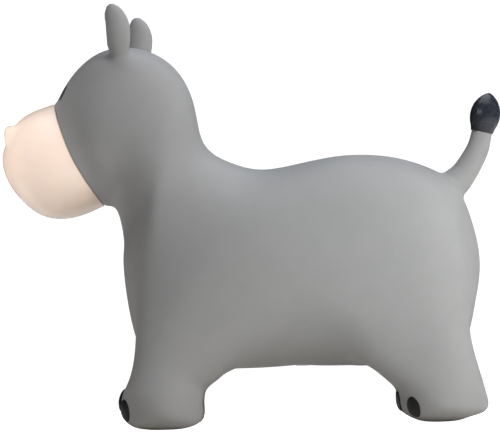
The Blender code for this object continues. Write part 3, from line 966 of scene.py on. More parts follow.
@dataclass
class EarPose:
    """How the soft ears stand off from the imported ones.

    Attributes:
        lean_deg: How far an ear leans outwards round the head.
        head_level: Height of the middle of the head.
        swell: How far the middle of an ear bulges outwards.
        growth: How much longer an ear gets.
        taper: How far the front of an ear's foot is drawn in.
        taper_power: How fast that fades on the way up.
        taper_front: How many times over the ear's width the drawing in grows to its front.
        far_shift: How far the right ear sits back and up.
        far_slant: How far its tip leans back from its foot.
        far_pivot: Share of its height at which that lean has no effect.
    """

    lean_deg: float = 3.5
    head_level: float = 345 * MM
    swell: float = 4 * MM
    growth: float = 3 * MM
    taper: float = 7 * MM
    taper_power: int = 6
    taper_front: float = 3.0
    far_shift: Pair = (2.0 * MM, -1.3 * MM)
    far_slant: float = 5 * MM
    far_pivot: float = 0.4

    def of_node(self, node: str) -> Form:
        """Copies a packed ear and leans and bulges it.

        Args:
            node: The ear's name.

        Returns:
            The ear.
        """
        ear = Form.of_node(node)
        places = ear.rows()
        side = math.copysign(1.0, places[:, 1].mean())
        up = (places[:, 2] - places[:, 2].min()) / np.ptp(places[:, 2])
        front = (places[:, 0].mean() - places[:, 0]) / np.ptp(places[:, 0])
        forward = np.clip(self.taper_front * front, 0.0, 1.0)
        places[:, 0] += self.taper * (1.0 - up) ** self.taper_power * forward
        places[:, 1] += side * self.swell * np.sin(math.pi * up)
        places[:, 2] += self.growth * up
        if side > 0.0:
            places[:, 0] += self.far_shift[0] + self.far_slant * (up - self.far_pivot)
            places[:, 2] += self.far_shift[1]
        lean = -side * math.radians(self.lean_deg)
        y, z = places[:, 1].copy(), places[:, 2] - self.head_level
        places[:, 1] = y * math.cos(lean) - z * math.sin(lean)
        places[:, 2] = self.head_level + y * math.sin(lean) + z * math.cos(lean)
        return ear.set_places(places)


@dataclass(frozen=True)
class Fill:
    """A place (x, z) where the skin is filled out, as a leg leaves the belly or at a sole's edge.

    Attributes:
        x: The place's X.
        z: Its height.
        way: The direction (x, z) of the filling.
        depth: How far the skin goes there.
    """

    x: float
    z: float
    way: Pair
    depth: float


@dataclass
class AirFilledSkin:
    """The grey skin: torso, legs, neck and head with the ears and the tail, grown as one moulding.

    Attributes:
        voxel: Size of the skin's quads.
        rounding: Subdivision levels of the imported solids.
        crease_deg: Edges of ears and tail that are sharper than this stay crisp.
        sharp_deg: Edges of the cut skin that are sharper than this stay crisp.
        root_depth: How far ears and tail are let into the body before they are grown together.
        root_reach: How near to the body a vertex counts as part of their foot.
        lead: How far the skin runs on past the muzzle joint and the tail's end before it is cut.
        end_reach: How near to the tail's end a vertex counts as part of it.
        ear_fillet: Reach of the fillet round the ears.
        tail_fillet: Reach of the fillet round the tail.
        fillet_start: Share of that reach up to which the fillet is full.
        fillet_steps: Smoothing steps of the fillets.
        even_out: Strength and steps of the last smoothing.
        fills: Where the skin is filled out a little.
        fill_reach: How far a filling reaches.
        fill_start: Share of that reach up to which it is full.
        gaps: Lowest and highest x of the front and of the hind leg gap, whose ceilings are rounded.
        gap_fade: Over which length that rounding fades out at their ends.
        gap_levels: Heights between which it fades in and out.
        gap_sides: Distances from the middle plane between which it fades out.
        gap_steps: Its smoothing steps.
        pull: Strength of one smoothing step.
        cut_width: Half the muzzle cutter's width, as a share of the body's.
        tail_cutter: Half the width of the block that cuts the tail.
        body_node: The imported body.
        ear_nodes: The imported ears, the left one first.
        tail_node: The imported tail.
    """

    voxel: float = 2.5 * MM
    rounding: int = 2
    crease_deg: float = 60.0
    sharp_deg: float = 45.0
    root_depth: float = 5 * MM
    root_reach: float = 1.2 * MM
    lead: float = 8 * MM
    end_reach: float = 1.0 * MM
    ear_fillet: float = 9 * MM
    tail_fillet: float = 4 * MM
    fillet_start: float = 0.3
    fillet_steps: int = 22
    even_out: tuple[float, int] = (0.35, 3)
    fills: tuple[Fill, ...] = (
        Fill(-50 * MM, 45 * MM, (0.85, -0.5), 3.4 * MM), Fill(122 * MM, 76 * MM, (-0.35, -0.93), 1.6 * MM),
        Fill(254 * MM, 13 * MM, (0.75, -0.65), 3.0 * MM), Fill(-141 * MM, 10 * MM, (-0.75, -0.65), 2.0 * MM),
        Fill(-61 * MM, 8 * MM, (0.75, -0.65), 2.6 * MM))
    fill_reach: float = 23 * MM
    fill_start: float = 0.2
    gaps: tuple[Pair, ...] = ((-165 * MM, -52 * MM), (145 * MM, 275 * MM))
    gap_fade: float = 12 * MM
    gap_levels: tuple[Pair, Pair] = ((38 * MM, 50 * MM), (85 * MM, 95 * MM))
    gap_sides: Pair = (22 * MM, 32 * MM)
    gap_steps: int = 60
    pull: float = 0.5
    cut_width: float = 1.2
    tail_cutter: float = 40 * MM
    body_node: str = "body_skin"
    ear_nodes: tuple[str, ...] = ("ear_left", "ear_right")
    tail_node: str = "tail"

    def build(self, end: TailEnd, line: JointLine, material: bpy.types.Material) -> bpy.types.Object:
        """Grows and dresses the skin.

        Args:
            end: Where the tail ends.
            line: The muzzle's joint line.
            material: The grey finish.

        Returns:
            The finished skin.
        """
        recess = ValveRecess()
        body = Form.of_node(self.body_node)
        with body.opened() as shape:
            recess.close(shape)
            self._lead_on(shape, line)
        body.subdivide(self.rounding)
        roots = body.tree()
        ear_pose = EarPose()
        limbs = [*(ear_pose.of_node(node) for node in self.ear_nodes), self._long_tail(end)]
        for limb in limbs:
            self._let_in(limb, roots).subdivide(self.rounding, self.crease_deg)
        trees = [part.tree() for part in (body, *limbs)]
        for limb in limbs:
            body.add(limb)
        self._true_up(body.voxels(self.voxel), trees)
        body.cut(Cutter().ahead_of_line(line, self.cut_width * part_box(self.body_node)[1].y))
        body.cut(Cutter().beyond_plane(end.centre - end.way * recess.gap, end.way, self.tail_cutter))
        body.cut(recess.cutter())
        return body.finish("skin", material, Slot.GREY, Rider.DONKEY,
                           (self.body_node, *self.ear_nodes, self.tail_node), self.sharp_deg)

    def _lead_on(self, shape: BMesh, line: JointLine) -> None:
        """Opens the body at the muzzle joint and leads it on the way it runs there.

        Args:
            shape: The body.
            line: The joint line.
        """
        rim = line.rim(shape)
        caps = [f for f in shape.faces if all(v in rim for v in f.verts)]
        bmesh.ops.delete(shape, geom=caps, context="FACES")
        edges = [e for e in shape.edges if e.is_boundary]
        ways = {}
        for vert in {v for e in edges for v in e.verts}:
            inner = [e.other_vert(vert).co for e in vert.link_edges if not e.is_boundary]
            ways[vert] = (vert.co - sum(inner, Vector()) / len(inner)).normalized()
        led = bmesh.ops.extrude_edge_only(shape, edges=edges)["geom"]
        for vert in (v for v in led if isinstance(v, bmesh.types.BMVert)):
            root = next(e.other_vert(vert) for e in vert.link_edges if e.other_vert(vert) in ways)
            vert.co += ways[root] * self.lead
        close_rims(shape, lambda place: place.x < 0.0)

    def _let_in(self, limb: Form, body: BVHTree) -> Form:
        """Sinks the foot of an ear or the tail into the body.

        Args:
            limb: The ear or the tail.
            body: The body's surface.

        Returns:
            The ear or the tail.
        """
        for vert in limb.obj.data.vertices:
            _, normal, _, away = body.find_nearest(vert.co)
            if away < self.root_reach:
                vert.co -= normal * self.root_depth
        limb.obj.data.update()
        return limb

    def _long_tail(self, end: TailEnd) -> Form:
        """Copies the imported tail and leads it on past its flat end.

        Args:
            end: Where it ends.

        Returns:
            The tail.
        """
        tail = Form.of_node(self.tail_node)
        for vert in tail.obj.data.vertices:
            if (vert.co - end.centre).dot(end.way) > -self.end_reach:
                vert.co += end.way * self.lead
        tail.obj.data.update()
        return tail

    def _true_up(self, grown: Form, trees: Sequence[BVHTree]) -> None:
        """Lays the grown skin on the rounded solids and fillets it where they meet.

        Args:
            grown: The skin.
            trees: The surfaces of the body, the ears and the tail.
        """
        places = grown.rows()
        nears, fars = (np.stack(found) for found in zip(*(distances(tree, places) for tree in trees)))
        laid = nears[fars.argmin(0), np.arange(len(places))]
        by_ears = np.maximum(fars[0], np.minimum(fars[1], fars[2]))
        by_tail = np.maximum(fars[0], fars[3])
        fillet = np.maximum(fade(by_ears, self.ear_fillet, self.fillet_start),
                            fade(by_tail, self.tail_fillet, self.fillet_start))
        grown.set_places(places + (laid - places) * (1.0 - fillet)[:, None])
        grown.relax(self.pull * fillet, self.fillet_steps)
        self._fill_corners(grown)
        self._round_gaps(grown)
        grown.relax(*self.even_out)

    def _fill_corners(self, grown: Form) -> None:
        """Fills the skin out a little where the legs leave the belly and at the soles' edges.

        Args:
            grown: The skin.
        """
        for fill in self.fills:
            places = grown.rows()
            way = np.array((fill.way[0], 0.0, fill.way[1]))
            facing = np.clip(grown.rows("normal") @ way, 0.0, 1.0)
            away = np.hypot(places[:, 0] - fill.x, places[:, 2] - fill.z)
            places += (fill.depth * facing * fade(away, self.fill_reach, self.fill_start))[:, None] * way
            places[:, 2] = np.maximum(places[:, 2], 0.0)
            grown.set_places(places)

    def _round_gaps(self, grown: Form) -> None:
        """Rounds the ceilings of the gaps between the left and right legs.

        Args:
            grown: The skin.
        """
        x, y, z = grown.rows().T
        within = sum(band(x, (low, low + self.gap_fade), (high - self.gap_fade, high))
                     for low, high in self.gaps)
        inward = 1.0 - smooth_share(np.abs(y), *self.gap_sides)
        grown.relax(self.pull * within * band(z, *self.gap_levels) * inward, self.gap_steps)


@dataclass
class Muzzle:
    """The cream muzzle with its two nostril mounds.

    Attributes:
        voxel: Size of its quads, which also rounds the lip at the joint.
        rounding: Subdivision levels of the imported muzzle.
        crease_deg: Edges sharper than this stay crisp before it is grown.
        lip: How far from the joint the lip stays as grown, as numbers of quads.
        mound_fillet: Reach of the fillet round the mounds.
        fillet_start: Share of that reach up to which the fillet is full.
        fillet_steps: Its smoothing steps.
        even_out: Strength and steps of the smoothing all over.
        smooth_steps: Smoothing steps away from the mounds.
        pull: Strength of one smoothing step.
        mound_corner: Upper front corner of a mound; the other one's is its mirror image.
        mound_lift: How far that corner is lifted, back and up.
        mound_reach: How far the lift reaches.
        lift_start: Share of that reach up to which the lift is full.
        root_ahead: How far ahead of the joint the mounds' roots lie at least.
        root_deg: How hollow an edge at their roots is at least.
        root_shares: Where along an edge its root places lie.
        node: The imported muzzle.
    """

    voxel: float = 1.2 * MM
    rounding: int = 2
    crease_deg: float = 40.0
    lip: tuple[int, int] = (2, 4)
    mound_fillet: float = 6 * MM
    fillet_start: float = 0.3
    fillet_steps: int = 24
    even_out: tuple[float, int] = (0.4, 6)
    smooth_steps: int = 60
    pull: float = 0.5
    mound_corner: Triple = (-278.5 * MM, 21.2 * MM, 341.5 * MM)
    mound_lift: Triple = (-1.0 * MM, 0.0, 2.4 * MM)
    mound_reach: float = 13 * MM
    lift_start: float = 0.2
    root_ahead: float = 8 * MM
    root_deg: float = 12.0
    root_shares: tuple[float, ...] = (0.0, 0.25, 0.5, 0.75, 1.0)
    node: str = "muzzle_skin"

    def build(self, line: JointLine, material: bpy.types.Material) -> bpy.types.Object:
        """Grows and dresses the muzzle.

        Args:
            line: The joint line.
            material: The cream finish.

        Returns:
            The finished muzzle.
        """
        grown = Form.of_node(self.node)
        roots = self._mound_roots(grown, line)
        tree = grown.subdivide(self.rounding, self.crease_deg).tree()
        places = grown.voxels(self.voxel).rows()
        laid, _ = distances(tree, places)
        ahead = line.x_at(places[:, 2]) - places[:, 0]
        free = smooth_share(ahead, *(quads * self.voxel for quads in self.lip))
        places += (laid - places) * free[:, None]
        grown.set_places(places)
        away = np.array([roots.find(place)[2] for place in places])
        grown.relax(self.pull * fade(away, self.mound_fillet, self.fillet_start), self.fillet_steps)
        grown.relax(*self.even_out)
        x, y, z = grown.rows().T
        corner_x, corner_y, corner_z = self.mound_corner
        away = np.sqrt((x - corner_x) ** 2 + (np.abs(y) - corner_y) ** 2 + (z - corner_z) ** 2)
        grown.relax(self.pull * free * smooth_share(away, self.mound_reach, 2.0 * self.mound_reach),
                    self.smooth_steps)
        lift = fade(away, self.mound_reach, self.lift_start)
        grown.set_places(grown.rows() + lift[:, None] * np.array(self.mound_lift))
        return grown.finish("muzzle", material, Slot.CREAM, Rider.DONKEY, (self.node,))

    def _mound_roots(self, source: Form, line: JointLine) -> KDTree:
        """Finds the hollow edges where the mounds rise from the muzzle.

        Args:
            source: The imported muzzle.
            line: The joint line.

        Returns:
            A search tree over places along those edges.
        """
        spots = []
        with source.opened(keep=False) as shape:
            for edge in shape.edges:
                low, high = (vert.co for vert in edge.verts)
                middle = (low + high) / 2
                hollow = edge.calc_face_angle_signed(0.0) < -math.radians(self.root_deg)
                if hollow and line.x_at(middle.z) - middle.x > self.root_ahead:
                    spots += [low.lerp(high, share) for share in self.root_shares]
        roots = KDTree(len(spots))
        for i, spot in enumerate(spots):
            roots.insert(spot, i)
        roots.balance()
        return roots


@dataclass(frozen=True)
class PadShift:
    """How an oval pad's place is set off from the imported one.

    Attributes:
        turn_deg: How far it is turned round an upright axis, to the front.
        drop: How far it lies lower.
        growth: How much larger it is.
    """

    turn_deg: float = 0.0
    drop: float = 0.0
    growth: float = 1.0


@dataclass
class PadPlace:
    """Where an oval pad lies on the skin.

    Attributes:
        centre: Its middle.
        outward: Away from the skin.
        upward: Along its long axis.
        width: Its width.
        height: Its height.
    """

    centre: Vector
    outward: Vector
    upward: Vector
    width: float
    height: float

    @classmethod
    def of_node(cls, node: str, inside: Vector, shift: PadShift) -> PadPlace:
        """Reads a pad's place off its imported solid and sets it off.

        Args:
            node: The node's name.
            inside: A place within what carries the pad, which it is turned about.
            shift: How it is set off.

        Returns:
            The pad's place.
        """
        form = Form.of_node(node)
        places = form.rows()
        form.remove()
        middle = places.mean(0)
        _, _, axes = np.linalg.svd(places - middle, full_matrices=False)
        height, width, _ = (np.ptp((places - middle) @ axis) * shift.growth for axis in axes)
        centre, outward, upward = Vector(middle), Vector(axes[2]), Vector(axes[0])
        if outward.dot(centre - inside) < 0.0:
            outward.negate()
        if upward.z < 0.0:
            upward.negate()
        turn = Matrix.Rotation(math.radians(math.copysign(shift.turn_deg, inside.y)), 3, "Z")
        centre = inside + turn @ (centre - inside)
        centre.z -= shift.drop
        return cls(centre, turn @ outward, turn @ upward, width, height)


@dataclass
class OvalPads:
    """Oval pads that hug the skin: toenails and eyes, laid on it by one Geometry Nodes tree.

    Attributes:
        skin: The skin that they lie on.
        material: Their finish.
        reach: From how far out they are dropped on the skin.
        segments: Sides of a pad.
        rings: Its rings.
        fullness: The power that rounds a pad's face; lower is flatter.
        ray_share: How far their way to the skin is followed, as a share of the reach.
        tree: The tree that lays them.
    """

    skin: bpy.types.Object
    material: bpy.types.Material
    reach: float = 15 * MM
    segments: int = 64
    rings: int = 32
    fullness: float = 0.8
    ray_share: float = 3.0
    tree: bpy.types.NodeTree = field(init=False)

    def __post_init__(self) -> None:
        """Builds the tree."""
        wires, ins, outs = Wires.of_group("oval_pads", "Geometry", {
            "Geometry": "Geometry", "Skin": "Object", "Width": "Float", "Height": "Float", "Proud": "Float",
            "Sunk": "Float", "Reach": "Float", "Segments": "Int", "Rings": "Int", "Finish": "Material",
        }, ("Geometry",), "Geometry")
        self.tree = wires.tree
        at = wires.node("GeometryNodeInputPosition").outputs[0]
        ball = wires.node("GeometryNodeMeshUVSphere", {"Segments": ins["Segments"], "Rings": ins["Rings"]})
        unit = wires.node("GeometryNodeStoreNamedAttribute", {"Geometry": ball, "Name": "unit", "Value": at},
                          data_type="FLOAT_VECTOR", domain="POINT")
        oval = wires.node("ShaderNodeCombineXYZ", {"X": wires.times(ins["Width"], 0.5),
                                                   "Y": wires.times(ins["Height"], 0.5)})
        flat = wires.node("GeometryNodeSetPosition", {"Geometry": unit,
                                                      "Position": wires.vector_math("MULTIPLY", at, oval)})
        dots = wires.node("GeometryNodeMeshToPoints", {"Mesh": ins["Geometry"]})
        copies = wires.node("GeometryNodeInstanceOnPoints", {"Points": dots, "Instance": flat,
                                                             "Rotation": wires.attribute("turn")})
        real = wires.node("GeometryNodeRealizeInstances", {"Geometry": copies})
        outward = wires.attribute("outward")
        start = wires.vector_math("ADD", at, wires.vector_math("SCALE", outward, Scale=ins["Reach"]))
        ray = wires.node("GeometryNodeRaycast", {
            "Target Geometry": wires.node("GeometryNodeObjectInfo", {"Object": ins["Skin"]},
                                          transform_space="ORIGINAL").outputs["Geometry"],
            "Source Position": start, "Ray Direction": wires.vector_math("SCALE", outward, Scale=-1.0),
            "Ray Length": wires.times(ins["Reach"], self.ray_share)}).outputs
        level = wires.split(wires.attribute("unit"))["Z"]
        rise = wires.math("POWER", wires.math("MAXIMUM", level, 0.0), self.fullness)
        dip = wires.math("MINIMUM", level, 0.0)
        height = wires.times(rise, ins["Proud"], wires.times(dip, ins["Sunk"]))
        lift = wires.vector_math("SCALE", ray["Hit Normal"], Scale=height)
        laid = wires.node("GeometryNodeSetPosition", {
            "Geometry": real, "Position": wires.vector_math("ADD", ray["Hit Position"], lift)})
        wires.feed(outs["Geometry"], wires.node("GeometryNodeSetMaterial", {
            "Geometry": laid, "Material": ins["Finish"]}))

    def lay(self, name: str, inside: Vector, shifts: dict[str, PadShift], proud: float, sunk: float) -> None:
        """Lays pads on the skin as one piece.

        Args:
            name: The piece's name.
            inside: A place within what carries the pads.
            shifts: How they are set off, by their nodes.
            proud: How far their middle stands out.
            sunk: How far they reach into the skin.
        """
        spots = [PadPlace.of_node(node, inside, shift) for node, shift in shifts.items()]
        mesh = bpy.data.meshes.new(name)
        mesh.from_pydata([tuple(spot.centre) for spot in spots], [], [])
        turns, ways = (mesh.attributes.new(label, "FLOAT_VECTOR", "POINT") for label in ("turn", "outward"))
        for i, spot in enumerate(spots):
            across = spot.upward.cross(spot.outward).normalized()
            up = spot.outward.cross(across)
            turns.data[i].vector = Matrix((across, up, spot.outward)).transposed().to_euler()
            ways.data[i].vector = spot.outward
        spans = zip(*((spot.width, spot.height) for spot in spots))
        width, height = (sum(span) / len(spots) for span in spans)
        laid = Form.of_tree(name, mesh, self.tree, {
            "Skin": self.skin, "Width": width, "Height": height, "Proud": proud, "Sunk": sunk,
            "Reach": self.reach, "Segments": self.segments, "Rings": self.rings, "Finish": self.material})
        laid.finish(name, self.material, Slot.NAIL, Rider.DONKEY, tuple(shifts))


@dataclass
class Toenails:
    """Two black oval nails on the front of each foot.

    Attributes:
        proud: How far a nail's middle stands out.
        sunk: How far it reaches into the skin.
        foot_level: Height of the middle of a foot.
        shifts: How the outer and the inner nail are set off, by the end of the toy.
    """

    proud: float = 2.4 * MM
    sunk: float = 1.0 * MM
    foot_level: float = 25 * MM
    shifts: tuple[tuple[str, PadShift, PadShift], ...] = (
        ("front", PadShift(16.0, 2.0 * MM), PadShift()),
        ("hind", PadShift(0.0, 2.2 * MM, 1.06), PadShift(8.0, 5.0 * MM)))

    def build(self, pads: OvalPads) -> None:
        """Lays the nails foot by foot.

        Args:
            pads: What lays them.
        """
        soles = {mount["name"]: Vector(mount["pos_m"]) for mount in frame["record"]["mounts"]}
        for end, outer, inner in self.shifts:
            for side in Side:
                foot = f"{end}_{side.value}"
                inside = soles[f"{foot}_sole"] + Vector((0.0, 0.0, self.foot_level))
                shifts = {f"nail_{foot}_outer": outer, f"nail_{foot}_inner": inner}
                pads.lay(f"toenails_{foot}", inside, shifts, self.proud, self.sunk)


@dataclass
class Eyes:
    """Two plain black ovals on the face.

    Attributes:
        proud: How far an eye's middle stands out.
        sunk: How far it reaches into the skin.
        shift: How it is set off.
        behind: How far the middle of the head lies behind the eyes.
        below: How far it lies below them.
    """

    proud: float = 0.6 * MM
    sunk: float = 0.6 * MM
    shift: PadShift = PadShift(drop=2.5 * MM, growth=1.15)
    behind: float = 60 * MM
    below: float = 20 * MM

    def build(self, pads: OvalPads) -> None:
        """Lays the eyes.

        Args:
            pads: What lays them.
        """
        for side in Side:
            node = f"eye_{side.value}"
            low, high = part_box(node)
            inside = Vector((high.x + self.behind, 0.0, low.z - self.below))
            pads.lay(f"eye_oval_{side.value}", inside, {node: self.shift}, self.proud, self.sunk)


@dataclass
class Tuft:
    """The dark tuft at the tail's end: a bud with soft lengthwise locks, drawn by a rule.

    Attributes:
        locks: How many locks go round it.
        lock_depth: How deep the furrows between them are.
        lock_power: The power that rounds a lock; lower is sharper between them.
        furrowed: Shares of the length where the furrows start, are full, start to end and have ended.
        base: Share of the ball's turn from pole to pole that makes the flat base.
        profile: Shares of the length and of the widest radius, from the base to the tip.
        segments: Sides of the bud.
        rings: Its rings.
        sharp_deg: Edges sharper than this stay crisp.
    """

    locks: int = 7
    lock_depth: float = 0.45 * MM
    lock_power: float = 0.8
    furrowed: tuple[float, float, float, float] = (0.03, 0.3, 0.7, 1.0)
    base: float = 0.12
    profile: tuple[Pair, ...] = ((0.0, 0.74), (0.10, 0.80), (0.25, 0.94), (0.42, 1.0), (0.60, 0.94),
                                 (0.77, 0.74), (0.90, 0.45), (0.97, 0.2), (1.0, 0.0))
    segments: int = 180
    rings: int = 120
    sharp_deg: float = 60.0

    def build(self, end: TailEnd, material: bpy.types.Material) -> None:
        """Grows and dresses the tuft.

        Args:
            end: The tail's end.
            material: The glossy finish.
        """
        form = Form.of_tree("tuft", bpy.data.meshes.new("tuft"), self._tree(), {
            "Length": end.length, "Radius": end.radius, "Locks": self.locks, "Lock Depth": self.lock_depth,
            "Base": tuple(end.centre), "Turn": tuple(end.way.to_track_quat("Z", "Y").to_euler()),
            "Segments": self.segments, "Rings": self.rings, "Finish": material})
        form.finish("tuft", material, Slot.TUFT, Rider.DONKEY, (end.node,), self.sharp_deg)

    def _tree(self) -> bpy.types.NodeTree:
        """Builds the Geometry Nodes tree that draws a fluted bud on a flat base.

        Returns:
            The tree.
        """
        wires, ins, outs = Wires.of_group("fluted_bud", "Geometry", {
            "Length": "Float", "Radius": "Float", "Locks": "Int", "Lock Depth": "Float", "Base": "Vector",
            "Turn": "Vector", "Segments": "Int", "Rings": "Int", "Finish": "Material",
        }, ("Geometry",), "Geometry")
        ball = wires.node("GeometryNodeMeshUVSphere", {"Segments": ins["Segments"], "Rings": ins["Rings"]})
        x, y, z = wires.split(wires.node("GeometryNodeInputPosition"))
        polar = wires.math("DIVIDE", wires.math("ARCCOSINE", wires.times(z, -1.0)), math.pi)
        along = wires.ramp(polar, self.base, 1.0, kind="LINEAR")
        disc = wires.ramp(polar, 0.0, self.base, kind="LINEAR")
        angle = wires.math("ARCTAN2", y, x)
        wave = wires.math("SINE", wires.times(angle, wires.math("DIVIDE", ins["Locks"], 2.0)))
        ridge = wires.math("POWER", wires.math("ABSOLUTE", wave), self.lock_power)
        starts, full, ends, ended = self.furrowed
        window = wires.times(wires.ramp(along, starts, full), wires.ramp(along, ended, ends))
        furrow = wires.times(wires.math("SUBTRACT", ridge, 1.0), window)
        outline = wires.times(self._outline(wires, along), ins["Radius"])
        radius = wires.times(furrow, ins["Lock Depth"], outline)
        radius = wires.times(wires.math("MAXIMUM", radius, 0.0), disc)
        place = wires.node("ShaderNodeCombineXYZ", {
            "X": wires.times(wires.math("COSINE", angle), radius),
            "Y": wires.times(wires.math("SINE", angle), radius), "Z": wires.times(along, ins["Length"])})
        drawn = wires.node("GeometryNodeSetPosition", {"Geometry": ball, "Position": place})
        put = wires.node("GeometryNodeTransform", {
            "Geometry": drawn, "Translation": ins["Base"], "Rotation": ins["Turn"]})
        real = wires.node("GeometryNodeRealizeInstances", {"Geometry": put})
        wires.feed(outs["Geometry"], wires.node("GeometryNodeSetMaterial", {
            "Geometry": real, "Material": ins["Finish"]}))
        return wires.tree

    def _outline(self, wires: Wires, along: Socket) -> Socket:
        """Draws the bud's profile with a Float Curve node.

        Args:
            wires: The tree's wires.
            along: Share of the length.

        Returns:
            Share of the widest radius.
        """
        curve = wires.node("ShaderNodeFloatCurve", {"Value": along})
        points = curve.mapping.curves[0].points
        while len(points) < len(self.profile):
            points.new(0.5, 0.5)
        for point, place in zip(points, self.profile):
            point.location = place
            point.handle_type = "AUTO"
        curve.mapping.update()
        return curve.outputs["Value"]


@dataclass
class Valve:
    """The inflation valve in the belly: its seat, and the plug that pulls out of it.

    Attributes:
        edge: Width of the rounding of its edges.
        edge_segments: Facets of that rounding.
        edge_deg: Edges sharper than this are rounded.
        sharp_deg: Edges sharper than this stay crisp.
    """

    edge: float = 0.25 * MM
    edge_segments: int = 2
    edge_deg: float = 40.0
    sharp_deg: float = 35.0

    def build(self, material: bpy.types.Material) -> None:
        """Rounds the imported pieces' edges and dresses them.

        Args:
            material: The white finish.
        """
        for node, rider in (("valve_seat", Rider.DONKEY), ("valve_plug", Rider.PLUG)):
            form = Form.of_node(node).modified(
                "BEVEL", width=self.edge, segments=self.edge_segments, limit_method="ANGLE",
                angle_limit=math.radians(self.edge_deg))
            form.finish(f"{node}_moulding", material, Slot.VALVE, rider, (node,), self.sharp_deg)


@dataclass(frozen=True)
class Softbox:
    """One square soft light.

    Attributes:
        name: Its name.
        place: Where it hangs.
        size: Its side.
        power: Its power in watts.
        colour: Its colour.
        aim: What it faces.
        spread_deg: How wide its beam is.
        mirrored: Whether glossy surfaces mirror it.
    """

    name: str
    place: Triple
    size: float
    power: float
    colour: Triple = WHITE
    aim: Triple = (0.0, 0.0, 0.2)
    spread_deg: float = 180.0
    mirrored: bool = False

    def hang(self) -> None:
        """Hangs the light."""
        lamp = bpy.data.lights.new(self.name, "AREA")
        lamp.shape = "SQUARE"
        lamp.size = self.size
        lamp.energy = self.power
        lamp.color = self.colour
        lamp.spread = math.radians(self.spread_deg)
        hung = linked(self.name, lamp)
        hung.location = self.place
        hung.rotation_euler = (Vector(self.aim) - Vector(self.place)).to_track_quat("-Z", "Y").to_euler()
        hung.visible_camera = False
        hung.visible_glossy = self.mirrored


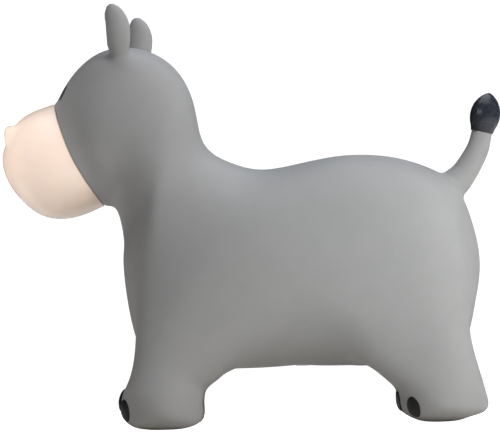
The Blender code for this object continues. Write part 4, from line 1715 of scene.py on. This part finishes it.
@dataclass
class Studio:
    """A pale floor, a white sweep, soft lights and the camera at the photograph's place.

    Attributes:
        eye: Where the camera stands.
        look_at: What it faces.
        lens_mm: Its focal length on a sensor 36 mm wide.
        roll_deg: How far it is turned about its own axis.
        clip: Nearest and farthest that it sees.
        lights: The soft lights.
        sweep: How bright the sweep behind the toy shows; it lights nothing.
        floor_half: Half the floor's side.
        floor_colours: Linear colours that the floor's grit drifts between.
        floor_grit: Grit to the metre.
        floor_fade: Between which distances the floor turns white to the camera.
        floor_glow: How much the floor glows to the camera, near and far.
        floor_lift: How strongly the floor near the toy lights it from below.
        floor_lift_colour: The colour of that light.
    """

    eye: Triple = (0.0516, -5.0, 0.075)
    look_at: Triple = (-0.0034, 0.0, 0.2355)
    lens_mm: float = 320.0
    roll_deg: float = -1.7
    clip: Pair = (0.1, 60.0)
    lights: tuple[Softbox, ...] = (
        Softbox("key_rear", (1.1, -1.2, 1.1), 0.9, 32.0, (0.985, 0.98, 0.99)),
        Softbox("rear_far_side", (1.4, 0.6, 0.9), 0.9, 13.0, (0.94, 0.98, 1.0)),
        Softbox("top", (0.1, 0.1, 1.7), 1.4, 17.0, (0.92, 0.94, 1.0), mirrored=True),
        Softbox("top_far_side", (0.1, 1.2, 1.5), 1.0, 1.5, (0.5, 0.8, 1.0), mirrored=True),
        Softbox("front_far_side", (-1.3, 0.4, 0.7), 0.6, 4.8, (1.0, 0.97, 0.93)),
        Softbox("low_rear", (0.85, -0.45, 0.2), 0.35, 1.2, (1.0, 0.95, 0.85), (0.25, 0.0, 0.15)),
        Softbox("flank_beam", (0.9, -1.3, 0.5), 0.3, 0.12, (0.9, 1.0, 1.0), (0.2, -0.1, 0.2), 14.0),
        Softbox("muzzle_beam", (-1.1, -0.7, 0.5), 0.15, 0.07, (1.0, 0.98, 0.98), (-0.27, 0.0, 0.31), 8.0),
        Softbox("front_spark", (-1.1, -1.15, 1.0), 0.1, 3.8, mirrored=True),
        Softbox("tuft_spark", (0.73, -0.56, 1.79), 0.35, 1.5, mirrored=True),
    )
    sweep: float = 1.1
    floor_half: float = 12.0
    floor_colours: tuple[Triple, Triple] = ((0.80, 0.79, 0.77), (0.83, 0.82, 0.80))
    floor_grit: float = 40.0
    floor_fade: Pair = (0.4, 1.2)
    floor_glow: Pair = (0.9, 1.1)
    floor_lift: float = 0.13
    floor_lift_colour: Triple = (1.0, 0.88, 0.68)

    def build(self) -> None:
        """Sets up the floor, the world, the lights and the camera."""
        self._floor()
        self._world()
        for light in self.lights:
            light.hang()
        self._camera()
        bpy.context.scene.view_settings.view_transform = "Standard"

    def _floor(self) -> None:
        """Lays the pale floor, which is seen from above only."""
        shape = bmesh.new()
        bmesh.ops.create_grid(shape, x_segments=1, y_segments=1, size=self.floor_half)
        floor = Form.of_bmesh("floor", shape).obj
        material = bpy.data.materials.new("pale_floor")
        wires = Wires.of(material)
        place = wires.node("ShaderNodeTexCoord").outputs["Object"]
        away = wires.vector_math("LENGTH", place)
        matt = wires.node("ShaderNodeBsdfDiffuse", {
            "Color": wires.mix(wires.noise(place, self.floor_grit), *self.floor_colours)})
        glow = wires.node("ShaderNodeEmission", {
            "Strength": wires.ramp(away, *self.floor_fade, self.floor_glow)})
        lift = wires.node("ShaderNodeEmission", {
            "Color": self.floor_lift_colour,
            "Strength": wires.ramp(away, *self.floor_fade, (self.floor_lift, 0.0))})
        lit, seen = (wires.node("ShaderNodeAddShader", {0: matt, 1: emission}) for emission in (lift, glow))
        above = wires.mix_shaders(wires.node("ShaderNodeLightPath").outputs["Is Camera Ray"], lit, seen)
        below = wires.node("ShaderNodeBsdfTransparent")
        backface = wires.node("ShaderNodeNewGeometry").outputs["Backfacing"]
        wires.node("ShaderNodeOutputMaterial", {"Surface": wires.mix_shaders(backface, above, below)})
        floor.data.materials.append(material)

    def _world(self) -> None:
        """Makes the white sweep, which only the camera sees."""
        world = bpy.data.worlds.new("white_sweep")
        wires = Wires.of(world)
        dim, bright = (wires.node("ShaderNodeBackground", {"Color": WHITE, "Strength": strength})
                       for strength in (0.0, self.sweep))
        pick = wires.mix_shaders(wires.node("ShaderNodeLightPath").outputs["Is Camera Ray"], dim, bright)
        wires.node("ShaderNodeOutputWorld", {"Surface": pick})
        bpy.context.scene.world = world

    def _camera(self) -> None:
        """Sets up the camera."""
        camera = bpy.data.cameras.new("photo_camera")
        camera.lens = self.lens_mm
        camera.clip_start, camera.clip_end = self.clip
        held = linked("photo_camera", camera)
        ahead = (Vector(self.look_at) - Vector(self.eye)).normalized()
        right = ahead.cross(Vector((0.0, 0.0, 1.0))).normalized()
        up = right.cross(ahead)
        roll = math.radians(self.roll_deg)
        turn = Matrix((right * math.cos(roll) + up * math.sin(roll),
                       up * math.cos(roll) - right * math.sin(roll), -ahead)).transposed()
        held.matrix_world = Matrix.Translation(Vector(self.eye)) @ turn.to_4x4()
        bpy.context.scene.camera = held


@dataclass
class Finishes:
    """The toy's finishes."""

    grey: SoftPvc = SoftPvc("grey_soft_pvc", (0.215, 0.215, 0.215), (0.17, 0.165, 0.155),
                            handled=(((0.0, 0.0, 0.30), 0.11), ((-0.14, 0.0, 0.45), 0.08)))
    cream: SoftPvc = SoftPvc("cream_soft_pvc", (0.69, 0.562, 0.468), (0.6, 0.5, 0.4), (0.24, 0.27), 0.55,
                             drift=0.01, stipple_depth=0.003 * MM)
    # The second colours of the nail and tuft lacquers are painted sheen.
    nail: BlackLacquer = BlackLacquer("black_nail_lacquer", (0.008, 0.008, 0.009), (0.012, 0.012, 0.013),
                                      (0.36, 0.44), 0.15)
    tuft: BlackLacquer = BlackLacquer("blue_black_tuft", (0.014, 0.0155, 0.021), (0.02, 0.022, 0.029),
                                      (0.26, 0.32), 0.35)
    valve: SoftPvc = SoftPvc("natural_white_valve", (0.72, 0.72, 0.70), (0.6, 0.6, 0.58), (0.35, 0.45), 0.5,
                             seam_depth=0.0)


def main() -> None:
    """Builds the toy's looks and the studio."""
    logging.basicConfig(level=logging.INFO, format="%(name)s: %(message)s")
    EffectGroups.build()
    finishes = Finishes()
    line = JointLine()
    end = TailEnd()
    skin = AirFilledSkin().build(end, line, finishes.grey.build())
    Muzzle().build(line, finishes.cream.build())
    pads = OvalPads(skin, finishes.nail.build())
    Toenails().build(pads)
    Eyes().build(pads)
    Tuft().build(end, finishes.tuft.build())
    Valve().build(finishes.valve.build())
    Studio().build()


if __name__ == "__main__":
    main()
